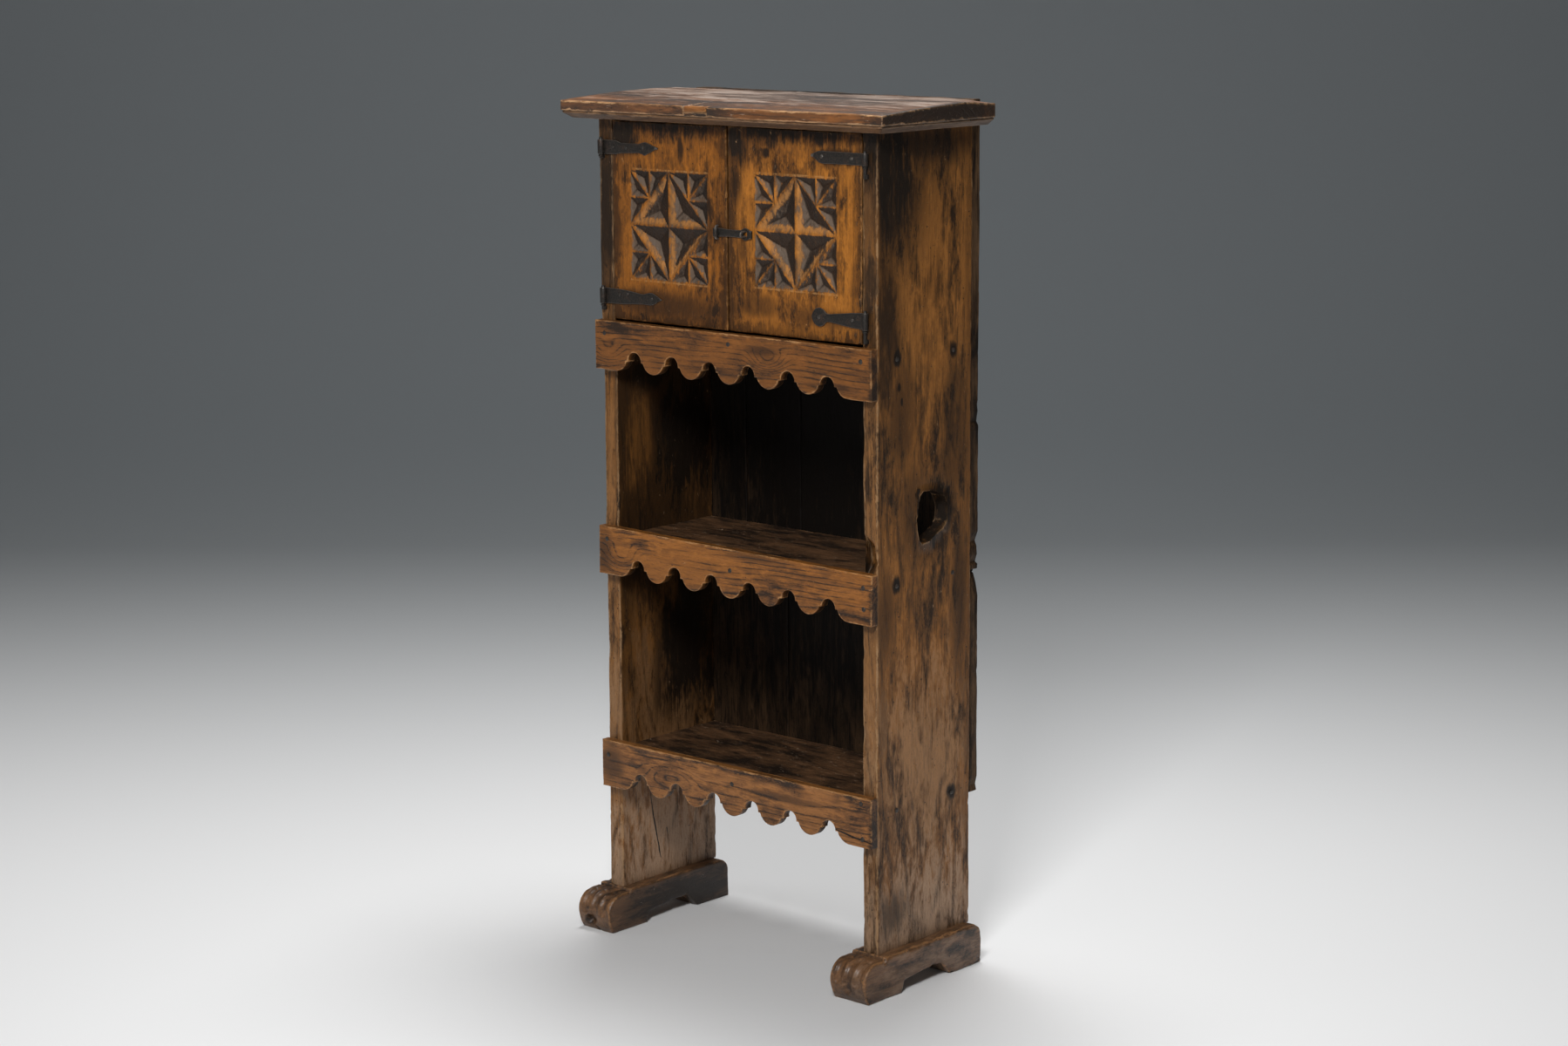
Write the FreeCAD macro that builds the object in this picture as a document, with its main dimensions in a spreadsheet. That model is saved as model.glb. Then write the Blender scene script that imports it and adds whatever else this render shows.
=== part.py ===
import FreeCAD, Part
import os
import re
import Sketcher

# A small two-door cupboard over two open shelves. Millimetres, +Z up, the doors face -Y.
# The origin is on the floor, at the middle of the whole cupboard's width and depth.

V = FreeCAD.Vector
os.makedirs("parts", exist_ok=True)
doc = FreeCAD.newDocument("Cupboard")

SIZES = {
    # The two side boards and the board thicknesses
    "side_spread": 600,
    "side_thickness": 30,
    "side_depth": 236,
    "side_top_height": 1399,
    "shelf_thickness": 30,
    "housing_depth": 8,
    "back_thickness": 20,
    "back_gap": 1,
    # Heights of the two open shelves' upper faces, the room from the cupboard's floor to its top,
    # and how far under the middle shelf's upper face the two tiers of back boards meet
    "lower_shelf_top": 318,
    "middle_shelf_top": 686,
    "cupboard_height": 350,
    "back_joint_drop": 22,
    # Tenons under the side boards
    "tenon_thickness": 14,
    "tenon_width": 150,
    "tenon_length": 34,
    # The sledge feet
    "foot_width": 74,
    "foot_height": 69,
    "foot_reach": 59,
    "foot_tail": 8,
    "foot_tail_radius": 22,
    "foot_toe_inset": 11,
    "foot_toe_radius": 55,
    "roll_radius": 32,
    "roll_drop": 4,
    "groove_setback": 3,
    "groove_width": 5,
    "groove_depth": 9,
    "flute_radius": 4.5,
    "flute_spacing": 20,
    "flute_depth": 2.6,
    "foot_arch_start": 36,
    "foot_arch_end": 163,
    "foot_arch_height": 25,
    "foot_arch_spring": 18,
    "foot_arch_front_slope": 7,
    "foot_arch_rear_slope": 25,
    "foot_arch_radius": 260,
    # The top: two boards with their upper faces worn down towards the front edge
    "top_front_overhang": 44,
    "top_side_overhang": 46,
    "top_thickness": 27,
    "top_front_thickness": 17,
    "top_shoulder_thickness": 23,
    "top_shoulder_reach": 80,
    "top_flat_reach": 144,
    "top_joint_offset": -66,
    "patch_length": 48,
    "patch_height": 9,
    "patch_depth": 12,
    # The moulding under the top
    "cornice_width": 42,
    "cornice_height": 12,
    "cornice_fillet": 3,
    "cornice_inset": 12,
    # The three scalloped boards across the front
    "apron_thickness": 16,
    "apron_height": 82,
    "upper_apron_rise": 3,
    "middle_apron_rise": 8,
    "lower_apron_rise": 12,
    "middle_apron_lift": 9,
    "arch_count": 6,
    "arch_pitch": 84,
    "arch_rise": 33,
    "arch_half_width": 14.5,
    "quirk_width": 4.5,
    "quirk_height": 17,
    # The doors and their chip-carved fields, whose middles stand this far above the doors' foot
    "door_thickness": 20,
    "door_proud": 1,
    "door_side_gap": 1.5,
    "door_bottom_gap": 6,
    "door_top_gap": 3,
    "door_centre_gap": 4,
    "door_joint_offset": -12.5,
    "field_width": 173,
    "field_height": 180,
    "left_field_margin": 40,
    "right_field_margin": 50,
    "left_field_rise": 160,
    "right_field_rise": 166,
    "chip_depth": 7,
    "chip_land": 1.6,
    # The hinges: straps with rolled eyes on pins driven into the side boards. The middle of an upper
    # strap lies this far under the door's top, and of a lower one this far above the door's foot.
    "strap_thickness": 2.5,
    "pin_radius": 2.75,
    "pin_clearance": 0.05,
    "left_pin_inset": 10,
    "right_pin_inset": 20,
    "eye_seat_gap": 0.3,
    "pin_nub": 4,
    "collar_radius": 4.2,
    "collar_height": 3,
    "spike_width": 6,
    "spike_height": 7,
    "spike_depth": 26,
    "left_top_strap_inset": 44,
    "left_top_strap_length": 126,
    "left_top_strap_width": 24,
    "left_bottom_strap_inset": 38,
    "left_bottom_strap_length": 131,
    "left_bottom_strap_width": 26,
    "right_top_strap_inset": 40,
    "right_top_strap_length": 113,
    "right_top_strap_width": 19,
    "right_bottom_strap_inset": 38,
    "right_bottom_strap_length": 112,
    "right_bottom_strap_width": 27,
    "disc_radius": 15,
    "left_top_drop": 7,
    "left_bottom_drop": 11,
    "right_top_drop": 20,
    "right_bottom_drop": 21,
    # The hasp and its two staples; its middle stands this far above the doors' foot
    "hasp_rise": 158.5,
    "hasp_pivot_inset": 19.5,
    "hasp_length": 74,
    "hasp_width": 13.5,
    "hasp_thickness": 2.5,
    "hasp_gap": 0.4,
    "hasp_curl_height": 14,
    "hasp_ring_width": 22,
    "hasp_ring_height": 20,
    "hasp_slot_width": 8,
    "hasp_slot_height": 13,
    "hasp_thumb_radius": 2.8,
    "staple_radius": 2,
    "staple_leg": 16,
    "staple_side_gap": 1,
    "catch_radius": 1.6,
    "catch_spread": 8,
    "catch_reach": 13,
    "catch_offset": 62,
    "catch_play": 1,
    # The hole in the right side board, whose middle stands this far above the middle shelf
    "hole_width": 76,
    "hole_height": 87,
    "hole_centre_depth": 140,
    "hole_rise": 82,
    # Nails
    "nail_radius": 1.5,
    "nail_head_radius": 4,
    "nail_head_height": 1.8,
    "nail_fit": 0.05,
    "apron_nail_length": 40,
    "side_nail_length": 52,
    "back_nail_length": 42,
    "top_nail_length": 55,
    "brad_radius": 1,
    "brad_length": 62,
    "strap_nail_length": 14,
    "strap_nail_head_radius": 3.2,
    # One overrun for every cut that passes out of a piece
    "overrun": 5,
}

sheet = doc.addObject("Spreadsheet::Sheet", "Sizes")
for row, (alias, size) in enumerate(SIZES.items(), start=1):
    sheet.set(f"A{row}", alias)
    sheet.set(f"B{row}", str(size))
    sheet.setAlias(f"B{row}", alias)
doc.recompute()

WORD = re.compile(r"[a-z_]+")
NODES = []


def sheet_text(text):
    """The expression with every size's name pointed at the sheet."""
    return WORD.sub(lambda word: "Sizes." + word[0] if word[0] in SIZES else word[0], text)


def amount(text):
    """The value of an expression written in the sheet's sizes."""
    found = sheet.evalExpression(text)
    return float(getattr(found, "Value", found))


def point(place):
    """A point from three expressions."""
    return V(*[amount(text) for text in place])


def bind(thing, field, text):
    thing.setExpression(field, sheet_text(text))


def bind_place(thing, place):
    for letter, text in zip("xyz", place):
        bind(thing, "Placement.Base." + letter, text)


# Places that many pieces share, written in the sizes
FRONT = "((foot_reach - side_depth - back_thickness - nail_head_height) / 2)"
REAR = f"({FRONT} + side_depth)"
OUTER = "side_spread / 2"
INNER = "(side_spread / 2 - side_thickness)"
DOOR_FACE = f"({FRONT} - door_proud)"
CUPBOARD_FLOOR_TOP = "(side_top_height - cupboard_height)"
SHELF_TOPS = {
    "cupboard_floor": CUPBOARD_FLOOR_TOP,
    "middle_shelf": "middle_shelf_top",
    "lower_shelf": "lower_shelf_top",
}
BACK_JOINT = "(middle_shelf_top - back_joint_drop)"
DOOR_BOTTOM = f"({CUPBOARD_FLOOR_TOP} + door_bottom_gap)"
DOOR_TOP = "(side_top_height - cornice_height - door_top_gap)"
EYE_RADIUS = "(pin_radius + pin_clearance + strap_thickness)"
PIN_DEPTH = f"({DOOR_FACE} - {EYE_RADIUS})"
HASP_EYE_RADIUS = "(staple_radius + pin_clearance + hasp_thickness)"
HASP_DEPTH = f"({DOOR_FACE} - hasp_gap - {HASP_EYE_RADIUS})"
HASP_PIVOT = "(door_joint_offset - door_centre_gap / 2 - hasp_pivot_inset)"
HASP_HEIGHT = f"({DOOR_BOTTOM} + hasp_rise)"
TOP_HEIGHT = "(side_top_height + top_thickness)"


def box(name, low, size):
    """A block from its lowest corner and its three lengths."""
    made = doc.addObject("Part::Box", name)
    for field, text in zip(("Length", "Width", "Height"), size):
        bind(made, field, text)
    bind_place(made, low)
    return made


def rod(name, base, radius, length, axis=V(0, 0, 1)):
    """A round bar from the centre of its first end, along an axis."""
    made = doc.addObject("Part::Cylinder", name)
    made.Placement = FreeCAD.Placement(V(), FreeCAD.Rotation(V(0, 0, 1), axis))
    bind(made, "Radius", radius)
    bind(made, "Height", length)
    bind_place(made, base)
    return made


def ball(name, centre, radius):
    made = doc.addObject("Part::Sphere", name)
    bind(made, "Radius", radius)
    bind_place(made, centre)
    return made


def join(name, pieces):
    made = doc.addObject("Part::MultiFuse", name)
    made.Shapes = pieces
    return made


def cut(name, base, *tools):
    """The base less each tool in turn."""
    for number, tool in enumerate(tools):
        made = doc.addObject("Part::Cut", f"{name}_cut_{number}")
        made.Base = base
        made.Tool = tool
        base = made
    return base


def node(made, label):
    """Marks the finished shape of one physical piece, or of one group of like nails."""
    made.Label = label
    NODES.append(made)
    return made


def sketch_on(body, role, lift="0"):
    """A sketch on one of the body's own origin planes, moved along the plane's normal by lift."""
    sketch = body.newObject("Sketcher::SketchObject", body.Name + "_sketch")
    plane = next(f for f in body.Origin.OriginFeatures if f.Role == role)
    sketch.AttachmentSupport = [(plane, "")]
    sketch.MapMode = "FlatFace"
    bind(sketch, "AttachmentOffset.Base.z", lift)
    return sketch


def arc_between(start, end, radius, side):
    """The arc of under half a circle that joins two points, its centre to the left or right."""
    chord = end - start
    offset = max(radius ** 2 - chord.Length ** 2 / 4, 0) ** 0.5
    across = V(-chord.y, chord.x, 0).normalize()
    if side == "right":
        across = -across
    centre = (start + end) / 2 + across * offset
    first, last = (start, end) if side == "left" else (end, start)
    circle = Part.Circle(centre, V(0, 0, 1), radius)
    return Part.ArcOfCircle(circle, circle.parameter(first), circle.parameter(last))


def outline(sketch, corners):
    """A closed outline. A corner is (u, v), reached along a line, or (u, v, radius, side), along an arc."""
    places = [V(amount(corner[0]), amount(corner[1]), 0) for corner in corners]
    count = len(corners)
    for number in range(count):
        start, end = places[number], places[(number + 1) % count]
        arrival = corners[(number + 1) % count]
        if len(arrival) == 2:
            sketch.addGeometry(Part.LineSegment(start, end), False)
        else:
            sketch.addGeometry(arc_between(start, end, amount(arrival[2]), arrival[3]), False)
    # an arc whose centre is to the right is stored from its end back to its start
    turned = [len(corner) == 4 and corner[3] == "right" for corner in corners[1:] + corners[:1]]
    for number in range(count):
        after = (number + 1) % count
        near_end = 1 if turned[number] else 2
        far_start = 2 if turned[after] else 1
        sketch.addConstraint(Sketcher.Constraint("Coincident", number, near_end, after, far_start))
    for number, corner in enumerate(corners):
        start = 2 if turned[number] else 1
        for kind, text, value in (("DistanceX", corner[0], places[number].x),
                                  ("DistanceY", corner[1], places[number].y)):
            index = sketch.addConstraint(Sketcher.Constraint(kind, -1, 1, number, start, value))
            bind(sketch, f"Constraints[{index}]", text)
        arrival = corners[(number + 1) % count]
        if len(arrival) == 4:
            index = sketch.addConstraint(Sketcher.Constraint("Radius", number, amount(arrival[2])))
            bind(sketch, f"Constraints[{index}]", arrival[2])


def padded(name, role, corners, length, lift="0"):
    """A body with one outline padded along the normal of its plane."""
    body = doc.addObject("PartDesign::Body", name)
    sketch = sketch_on(body, role, lift)
    outline(sketch, corners)
    pad = body.newObject("PartDesign::Pad", name + "_pad")
    pad.Profile = sketch
    bind(pad, "Length", length)
    return body


def pocketed(body, role, corners, length, lift):
    """Cuts one outline into the body, against the normal of its plane."""
    sketch = sketch_on(body, role, lift)
    outline(sketch, corners)
    pocket = body.newObject("PartDesign::Pocket", body.Name + "_pocket")
    pocket.Profile = sketch
    bind(pocket, "Length", length)
    return pocket


# Nails: each is a place on the surface, the direction it is driven and the group's own sizes
def nail(place, drive, length, radius, head_radius, head_height):
    """A forged nail with a low domed head seated on the surface."""
    shank = Part.makeCylinder(radius, length, place, drive)
    if not head_height:
        return shank
    dome = Part.makeCone(head_radius, head_radius / 2, head_height, place, -drive)
    return shank.fuse(dome).removeSplitter()


def nail_group(name, places, length, radius="nail_radius", head="nail_head_radius",
               dome="nail_head_height", sink="0"):
    """A node that holds all of a group's nails, and the holes that they fill."""
    sizes = [amount(length), amount(radius), amount(head), amount(dome)]
    nails = [nail(point(place), drive, *sizes) for place, drive in places]
    group = doc.addObject("Part::Feature", name)
    group.Shape = Part.makeCompound(nails)
    group.Placement = FreeCAD.Placement()
    node(group, name)
    wide, deep, back = amount(radius) + amount("nail_fit"), amount(length), amount(sink)
    holes = [Part.makeCylinder(wide, deep + back, point(place) - drive * back, drive)
             for place, drive in places]
    drilled = doc.addObject("Part::Feature", name + "_holes")
    drilled.Shape = Part.makeCompound(holes)
    return drilled


INTO_BACK = V(0, 1, 0)
INTO_FRONT = V(0, -1, 0)
TO_RIGHT = V(1, 0, 0)
TO_LEFT = V(-1, 0, 0)
DOWN = V(0, 0, -1)

# Aprons: one nail at the middle into the shelf's edge, the others into the side boards' edges.
# Each row is the apron's base height, its skew at the middle and its nails as shares of the
# half spread and of the apron's height.
UPPER_APRON_BASE = f"({CUPBOARD_FLOOR_TOP} + upper_apron_rise - apron_height)"
MIDDLE_APRON_BASE = "(middle_shelf_top + middle_apron_rise - apron_height)"
LOWER_APRON_BASE = "(lower_shelf_top + lower_apron_rise - apron_height)"
MIDDLE_TILT = "atan(middle_apron_lift / side_spread)"
APRON_FACE = f"({FRONT} - apron_thickness)"
UPPER_NAIL_SHARES = [(-0.93, 0.75), (0.93, 0.75)]
MIDDLE_NAIL_SHARES = [(-0.935, 0.85), (0.945, 0.74), (0.95, 0.32)]
LOWER_NAIL_SHARES = [(-0.95, 0.69), (0.93, 0.88), (0.94, 0.17)]
SHELF_NAIL_SHARES = {"cupboard_floor": 0.45, "middle_shelf": 0.75, "lower_shelf": 0.5}

apron_nail_places = []
for base, shares in ((UPPER_APRON_BASE, UPPER_NAIL_SHARES), (MIDDLE_APRON_BASE, MIDDLE_NAIL_SHARES),
                     (LOWER_APRON_BASE, LOWER_NAIL_SHARES)):
    for across_share, up_share in shares:
        place = (f"{OUTER} * {across_share}", APRON_FACE, f"{base} + apron_height * {up_share}")
        apron_nail_places.append((place, INTO_BACK))
for shelf, drop_share in SHELF_NAIL_SHARES.items():
    place = ("0", APRON_FACE, f"{SHELF_TOPS[shelf]} - shelf_thickness * {drop_share}")
    apron_nail_places.append((place, INTO_BACK))
apron_holes = nail_group("apron_nails", apron_nail_places, "apron_nail_length", sink="overrun")

# Side boards: two nails into the end of each shelf
SIDE_NAIL_DEPTH_SHARES = (0.2, 0.8)
SIDE_NAIL_DROP_SHARE = 0.6
side_nail_places = []
for side, drive in (("-", TO_RIGHT), ("", TO_LEFT)):
    for shelf_top in SHELF_TOPS.values():
        for depth_share in SIDE_NAIL_DEPTH_SHARES:
            place = (f"{side}{OUTER}", f"{FRONT} + side_depth * {depth_share}",
                     f"{shelf_top} - shelf_thickness * {SIDE_NAIL_DROP_SHARE}")
            side_nail_places.append((place, drive))
side_holes = nail_group("side_nails", side_nail_places, "side_nail_length")

# Back boards: the outer edge of each tier's boards, as shares of the half spread
UPPER_JOINT_SHARES = (-1, -0.633, -0.217, 0.44, 1)
LOWER_JOINT_SHARES = (-1, -0.32, 0.37, 1)
BACK_TOP = f"({TOP_HEIGHT})"
BACK_BOTTOM = "(lower_shelf_top - shelf_thickness)"
EDGE_NAIL_SHARE = 0.95
BACK_FACE = f"({REAR} + back_thickness)"


def back_nail_rows(joints, heights):
    """One nail near the middle of each board at each height, and the outer boards' into the sides."""
    rows = []
    for left, right in zip(joints, joints[1:]):
        centre_share = (left + right) / 2
        if left == -1:
            centre_share = -EDGE_NAIL_SHARE
        if right == 1:
            centre_share = EDGE_NAIL_SHARE
        for height in heights:
            rows.append(((f"{OUTER} * {centre_share:.4f}", BACK_FACE, height), INTO_FRONT))
    return rows


UPPER_BACK_NAIL_HEIGHTS = ("side_top_height + top_thickness / 2",
                           f"{CUPBOARD_FLOOR_TOP} - shelf_thickness / 2",
                           f"({BACK_JOINT} + middle_shelf_top) / 2")
LOWER_BACK_NAIL_HEIGHTS = (f"({BACK_JOINT} + middle_shelf_top - shelf_thickness) / 2",
                           "lower_shelf_top - shelf_thickness / 2")
back_nail_places = (back_nail_rows(UPPER_JOINT_SHARES, UPPER_BACK_NAIL_HEIGHTS)
                    + back_nail_rows(LOWER_JOINT_SHARES, LOWER_BACK_NAIL_HEIGHTS))
back_holes = nail_group("back_nails", back_nail_places, "back_nail_length")

# Top: three flush nails down into each side board
TOP_NAIL_DEPTH_SHARES = (0.45, 0.65, 0.85)
SIDE_MIDDLE = "(side_spread / 2 - side_thickness / 2)"
top_nail_places = [((f"{side}{SIDE_MIDDLE}", f"{FRONT} + side_depth * {share}", TOP_HEIGHT), DOWN)
                   for side in ("-", "") for share in TOP_NAIL_DEPTH_SHARES]
top_holes = nail_group("top_nails", top_nail_places, "top_nail_length", dome="0")

# Moulding: plain brads through its upper fillet into the side boards
BRAD_HEIGHT = "(side_top_height - cornice_fillet / 2)"
BRAD_DEPTH_SHARES = (0.25, 0.75)
brad_places = [((f"{side}{SIDE_MIDDLE}", f"{FRONT} - cornice_width", BRAD_HEIGHT), INTO_BACK)
               for side in ("-", "")]
for side, drive in (("-", TO_RIGHT), ("", TO_LEFT)):
    for depth_share in BRAD_DEPTH_SHARES:
        place = (f"{side}({OUTER} + cornice_width)", f"{FRONT} + side_depth * {depth_share}",
                 BRAD_HEIGHT)
        brad_places.append((place, drive))
brad_holes = nail_group("cornice_brads", brad_places, "brad_length", radius="brad_radius", dome="0")

# Hinge straps. An outline is a list of shares of the strap's length and width, from the eye to the
# tip along the upper edge and back along the lower one.
LEFT_TOP_SHARES = [(0, 0.5), (0.07, 0.5), (0.27, 0.47), (0.34, 0.31), (0.68, 0.29), (0.765, 0.46),
                   (1, 0.08), (0.765, -0.48), (0.68, -0.3), (0.36, -0.38), (0.3, -0.47),
                   (0.07, -0.5), (0, -0.5)]
LEFT_BOTTOM_SHARES = [(0, 0.5), (0.07, 0.5), (0.34, 0.47), (0.52, 0.32), (0.69, 0.25),
                      (0.74, 0.36), (0.83, 0.43), (0.92, 0.33), (1, 0.03), (0.92, -0.27),
                      (0.83, -0.37), (0.6, -0.38), (0.07, -0.5), (0, -0.5)]
RIGHT_TOP_SHARES = [(0, 0.5), (0.07, 0.5), (0.8, 0.47), (0.86, 0.52), (1, 0.12), (0.87, -0.42), (0.78, -0.5),
                    (0.07, -0.5), (0, -0.5)]
RIGHT_BOTTOM_SHARES = [(0, 0.5), (0.07, 0.5), (0.74, 0.22), (0.74, -0.22), (0.07, -0.5), (0, -0.5)]
LEFT_TOP_NAIL_SHARES = [(0.2, 0.0), (0.44, 0.0), (0.735, 0.08)]
LEFT_BOTTOM_NAIL_SHARES = [(0.27, 0.12), (0.41, 0.2), (0.83, 0.03)]
RIGHT_TOP_NAIL_SHARES = [(0.26, 0.0), (0.8, 0.06)]
RIGHT_BOTTOM_NAIL_SHARES = [(0.25, 0.0), (0.866, 0.0)]

LEFT_PIN = "(left_pin_inset - side_spread / 2)"
RIGHT_PIN = "(side_spread / 2 - right_pin_inset)"
HINGES = {
    "left_top": (LEFT_PIN, "", LEFT_TOP_SHARES, LEFT_TOP_NAIL_SHARES),
    "left_bottom": (LEFT_PIN, "", LEFT_BOTTOM_SHARES, LEFT_BOTTOM_NAIL_SHARES),
    "right_top": (RIGHT_PIN, "-", RIGHT_TOP_SHARES, RIGHT_TOP_NAIL_SHARES),
    "right_bottom": (RIGHT_PIN, "-", RIGHT_BOTTOM_SHARES, RIGHT_BOTTOM_NAIL_SHARES),
}


def strap_height(name):
    """The height of the middle of a strap."""
    if "top" in name:
        return f"({DOOR_TOP} - {name}_strap_inset)"
    return f"({DOOR_BOTTOM} + {name}_strap_inset)"


strap_nail_holes = {}
for side in ("left", "right"):
    places = []
    for name, (pin, turn, _, nail_shares) in HINGES.items():
        if not name.startswith(side):
            continue
        for along_share, up_share in nail_shares:
            place = (f"{pin} + {turn}{name}_strap_length * {along_share}",
                     f"{DOOR_FACE} - strap_thickness",
                     f"{strap_height(name)} + {name}_strap_width * {up_share}")
            places.append((place, INTO_BACK))
    strap_nail_holes[side] = nail_group(f"{side}_strap_nails", places, "strap_nail_length",
                                        head="strap_nail_head_radius", sink="overrun")


def strap(name, pin, turn, shares):
    """A flat strap on the door's face, its end rolled into an eye round the pin."""
    height = strap_height(name)
    corners = [(f"{turn}{name}_strap_length * {along}", f"{name}_strap_width * {up}")
               for along, up in shares]
    plate = padded(f"{name}_plate", "XZ_Plane", corners, "strap_thickness")
    bind_place(plate, (pin, DOOR_FACE, height))
    eye = rod(f"{name}_eye", (pin, PIN_DEPTH, f"{height} - {name}_strap_width / 2"),
              EYE_RADIUS, f"{name}_strap_width")
    pieces = [plate, eye]
    if name == "right_bottom":
        disc_centre = f"{pin} + {turn}(right_bottom_strap_length - disc_radius)"
        pieces.append(rod("right_bottom_disc", (disc_centre, DOOR_FACE, height), "disc_radius",
                          "strap_thickness", INTO_FRONT))
    bore = rod(f"{name}_bore", (pin, PIN_DEPTH, f"{height} - {name}_strap_width / 2 - overrun"),
               "pin_radius + pin_clearance", f"{name}_strap_width + 2 * overrun")
    side = name.split("_")[0]
    made = cut(f"{name}_strap", join(f"{name}_strap_blank", pieces), bore, strap_nail_holes[side])
    return node(made, f"{name}_strap")


def pintle(name, pin):
    """An upright pin with a collar under the strap's eye and a spike driven into the side board."""
    seat = f"({strap_height(name)} - {name}_strap_width / 2 - eye_seat_gap)"
    upright = rod(f"{name}_pin", (pin, PIN_DEPTH, f"{seat} - {name}_drop"), "pin_radius",
                  f"{name}_drop + eye_seat_gap + {name}_strap_width + pin_nub")
    collar = rod(f"{name}_collar", (pin, PIN_DEPTH, f"{seat} - collar_height"), "collar_radius",
                 "collar_height")
    low = (f"{pin} - spike_width / 2", PIN_DEPTH, f"{seat} - {name}_drop")
    size = ("spike_width", f"{FRONT} + spike_depth - {PIN_DEPTH}", "min(spike_height; %s_drop)" % name)
    spike = box(f"{name}_spike", low, size)
    node(join(f"{name}_pintle", [upright, collar, spike]), f"{name}_pintle")
    return box(f"{name}_spike_hole", low, size)


spike_holes = {}
for name, (pin, turn, shares, _) in HINGES.items():
    strap(name, pin, turn, shares)
    spike_holes[name] = pintle(name, pin)


# Feet: a beam with a rolled toe, a groove behind the roll, three flutes and an arch underneath
def foot(name, side):
    roll_top = "(foot_height - roll_drop)"
    roll_middle = f"({roll_top} - roll_radius)"
    roll_centre = "(roll_radius - foot_reach)"
    tail = "(side_depth + foot_tail)"
    corners = [
        ("foot_toe_inset - foot_reach", "0"),
        ("foot_arch_start", "0"),
        ("foot_arch_start + foot_arch_front_slope", "foot_arch_spring"),
        ("foot_arch_end - foot_arch_rear_slope", "foot_arch_height", "foot_arch_radius", "right"),
        ("foot_arch_end", "0"),
        (tail, "0"),
        (tail, "foot_height - foot_tail_radius"),
        (f"{tail} - foot_tail_radius", "foot_height", "foot_tail_radius", "left"),
        ("-groove_setback", "foot_height"),
        ("-groove_setback - groove_width / 2", "foot_height - groove_depth"),
        ("-groove_setback - groove_width", roll_top),
        (roll_centre, roll_top),
        ("-foot_reach", roll_middle, "roll_radius", "left"),
        ("foot_toe_inset - foot_reach", "0", "foot_toe_radius", "left"),
    ]
    # the last corner repeats the first, so the closing arc belongs to the first corner
    corners[0] = corners.pop()
    beam = padded(f"{name}_beam", "YZ_Plane", corners, "foot_width", "-foot_width / 2")
    low = ("-tenon_thickness / 2", "(side_depth - tenon_width) / 2")
    high = ("tenon_thickness / 2", "(side_depth + tenon_width) / 2")
    mortise = [low, (high[0], low[1]), high, (low[0], high[1])]
    pocketed(beam, "XY_Plane", mortise, "tenon_length + overrun", "foot_height + overrun")
    centre = f"{side}{SIDE_MIDDLE}"
    bind_place(beam, (centre, FRONT, "0"))
    flutes = []
    for number, sweep in ((-1, 95), (0, 112), (1, 95)):
        flute = doc.addObject("Part::Torus", f"{name}_flute_{number + 1}")
        turn = FreeCAD.Rotation(V(0, 0, 1), V(0, -1, 0), V(1, 0, 0), "XYZ")
        flute.Placement = FreeCAD.Placement(V(), turn)
        flute.Angle3 = sweep
        bind(flute, "Radius1", "roll_radius + flute_radius - flute_depth")
        bind(flute, "Radius2", "flute_radius")
        bind_place(flute, (f"{centre} + flute_spacing * {number}", f"{FRONT} + {roll_centre}",
                           roll_middle))
        flutes.append(flute)
    node(cut(f"{name}_carved", beam, *flutes), name)


foot("left_foot", "-")
foot("right_foot", "")


# Side boards: a full-height board with a tenon below, housings for the shelves and holes for the iron
def housing(name, shelf_top):
    """The groove that runs across both side boards for one shelf."""
    return box(name, (f"-{INNER} - housing_depth", FRONT, f"{shelf_top} - shelf_thickness"),
               (f"2 * ({INNER} + housing_depth)", "side_depth", "shelf_thickness"))


def side_board(name, side, *extra):
    low = "-side_spread / 2" if side else INNER
    board = box(f"{name}_board", (low, FRONT, "foot_height"),
                ("side_thickness", "side_depth", "side_top_height - foot_height"))
    tenon = box(f"{name}_tenon",
                (f"{side}{SIDE_MIDDLE} - tenon_thickness / 2",
                 f"{FRONT} + (side_depth - tenon_width) / 2", "foot_height - tenon_length"),
                ("tenon_thickness", "tenon_width", "tenon_length"))
    blank = join(f"{name}_blank", [board, tenon])
    grooves = [housing(f"{name}_{shelf}", shelf_top) for shelf, shelf_top in SHELF_TOPS.items()]
    holes = [apron_holes, side_holes, back_holes, top_holes, brad_holes]
    node(cut(name, blank, *grooves, *holes, *extra), name)


# The hole's outline, as shares of its half width and half height from its centre
HOLE_SHARES = [(-0.64, 1.0), (0.6, 0.76), (0.96, 0.4), (1.0, -0.26), (0.75, -0.52), (-0.64, -1.0),
               (-0.97, -0.42), (-0.92, 0.5)]
hole_corners = [(f"hole_width / 2 * {across}", f"hole_height / 2 * {up}") for across, up in
                HOLE_SHARES[::-1]]
knot_hole = padded("knot_hole", "YZ_Plane", hole_corners, "side_thickness + 2 * overrun",
                   f"{INNER} - overrun")
bind_place(knot_hole, ("0", f"{FRONT} + hole_centre_depth", "middle_shelf_top + hole_rise"))

side_board("left_side", "-", spike_holes["left_top"], spike_holes["left_bottom"])
side_board("right_side", "", spike_holes["right_top"], spike_holes["right_bottom"], knot_hole)

# Shelves: boards housed in the sides, nailed at their ends, through the aprons and from the back
for name, shelf_top in SHELF_TOPS.items():
    shelf = housing(f"{name}_board", shelf_top)
    node(cut(name, shelf, apron_holes, side_holes, back_holes), name)


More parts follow.
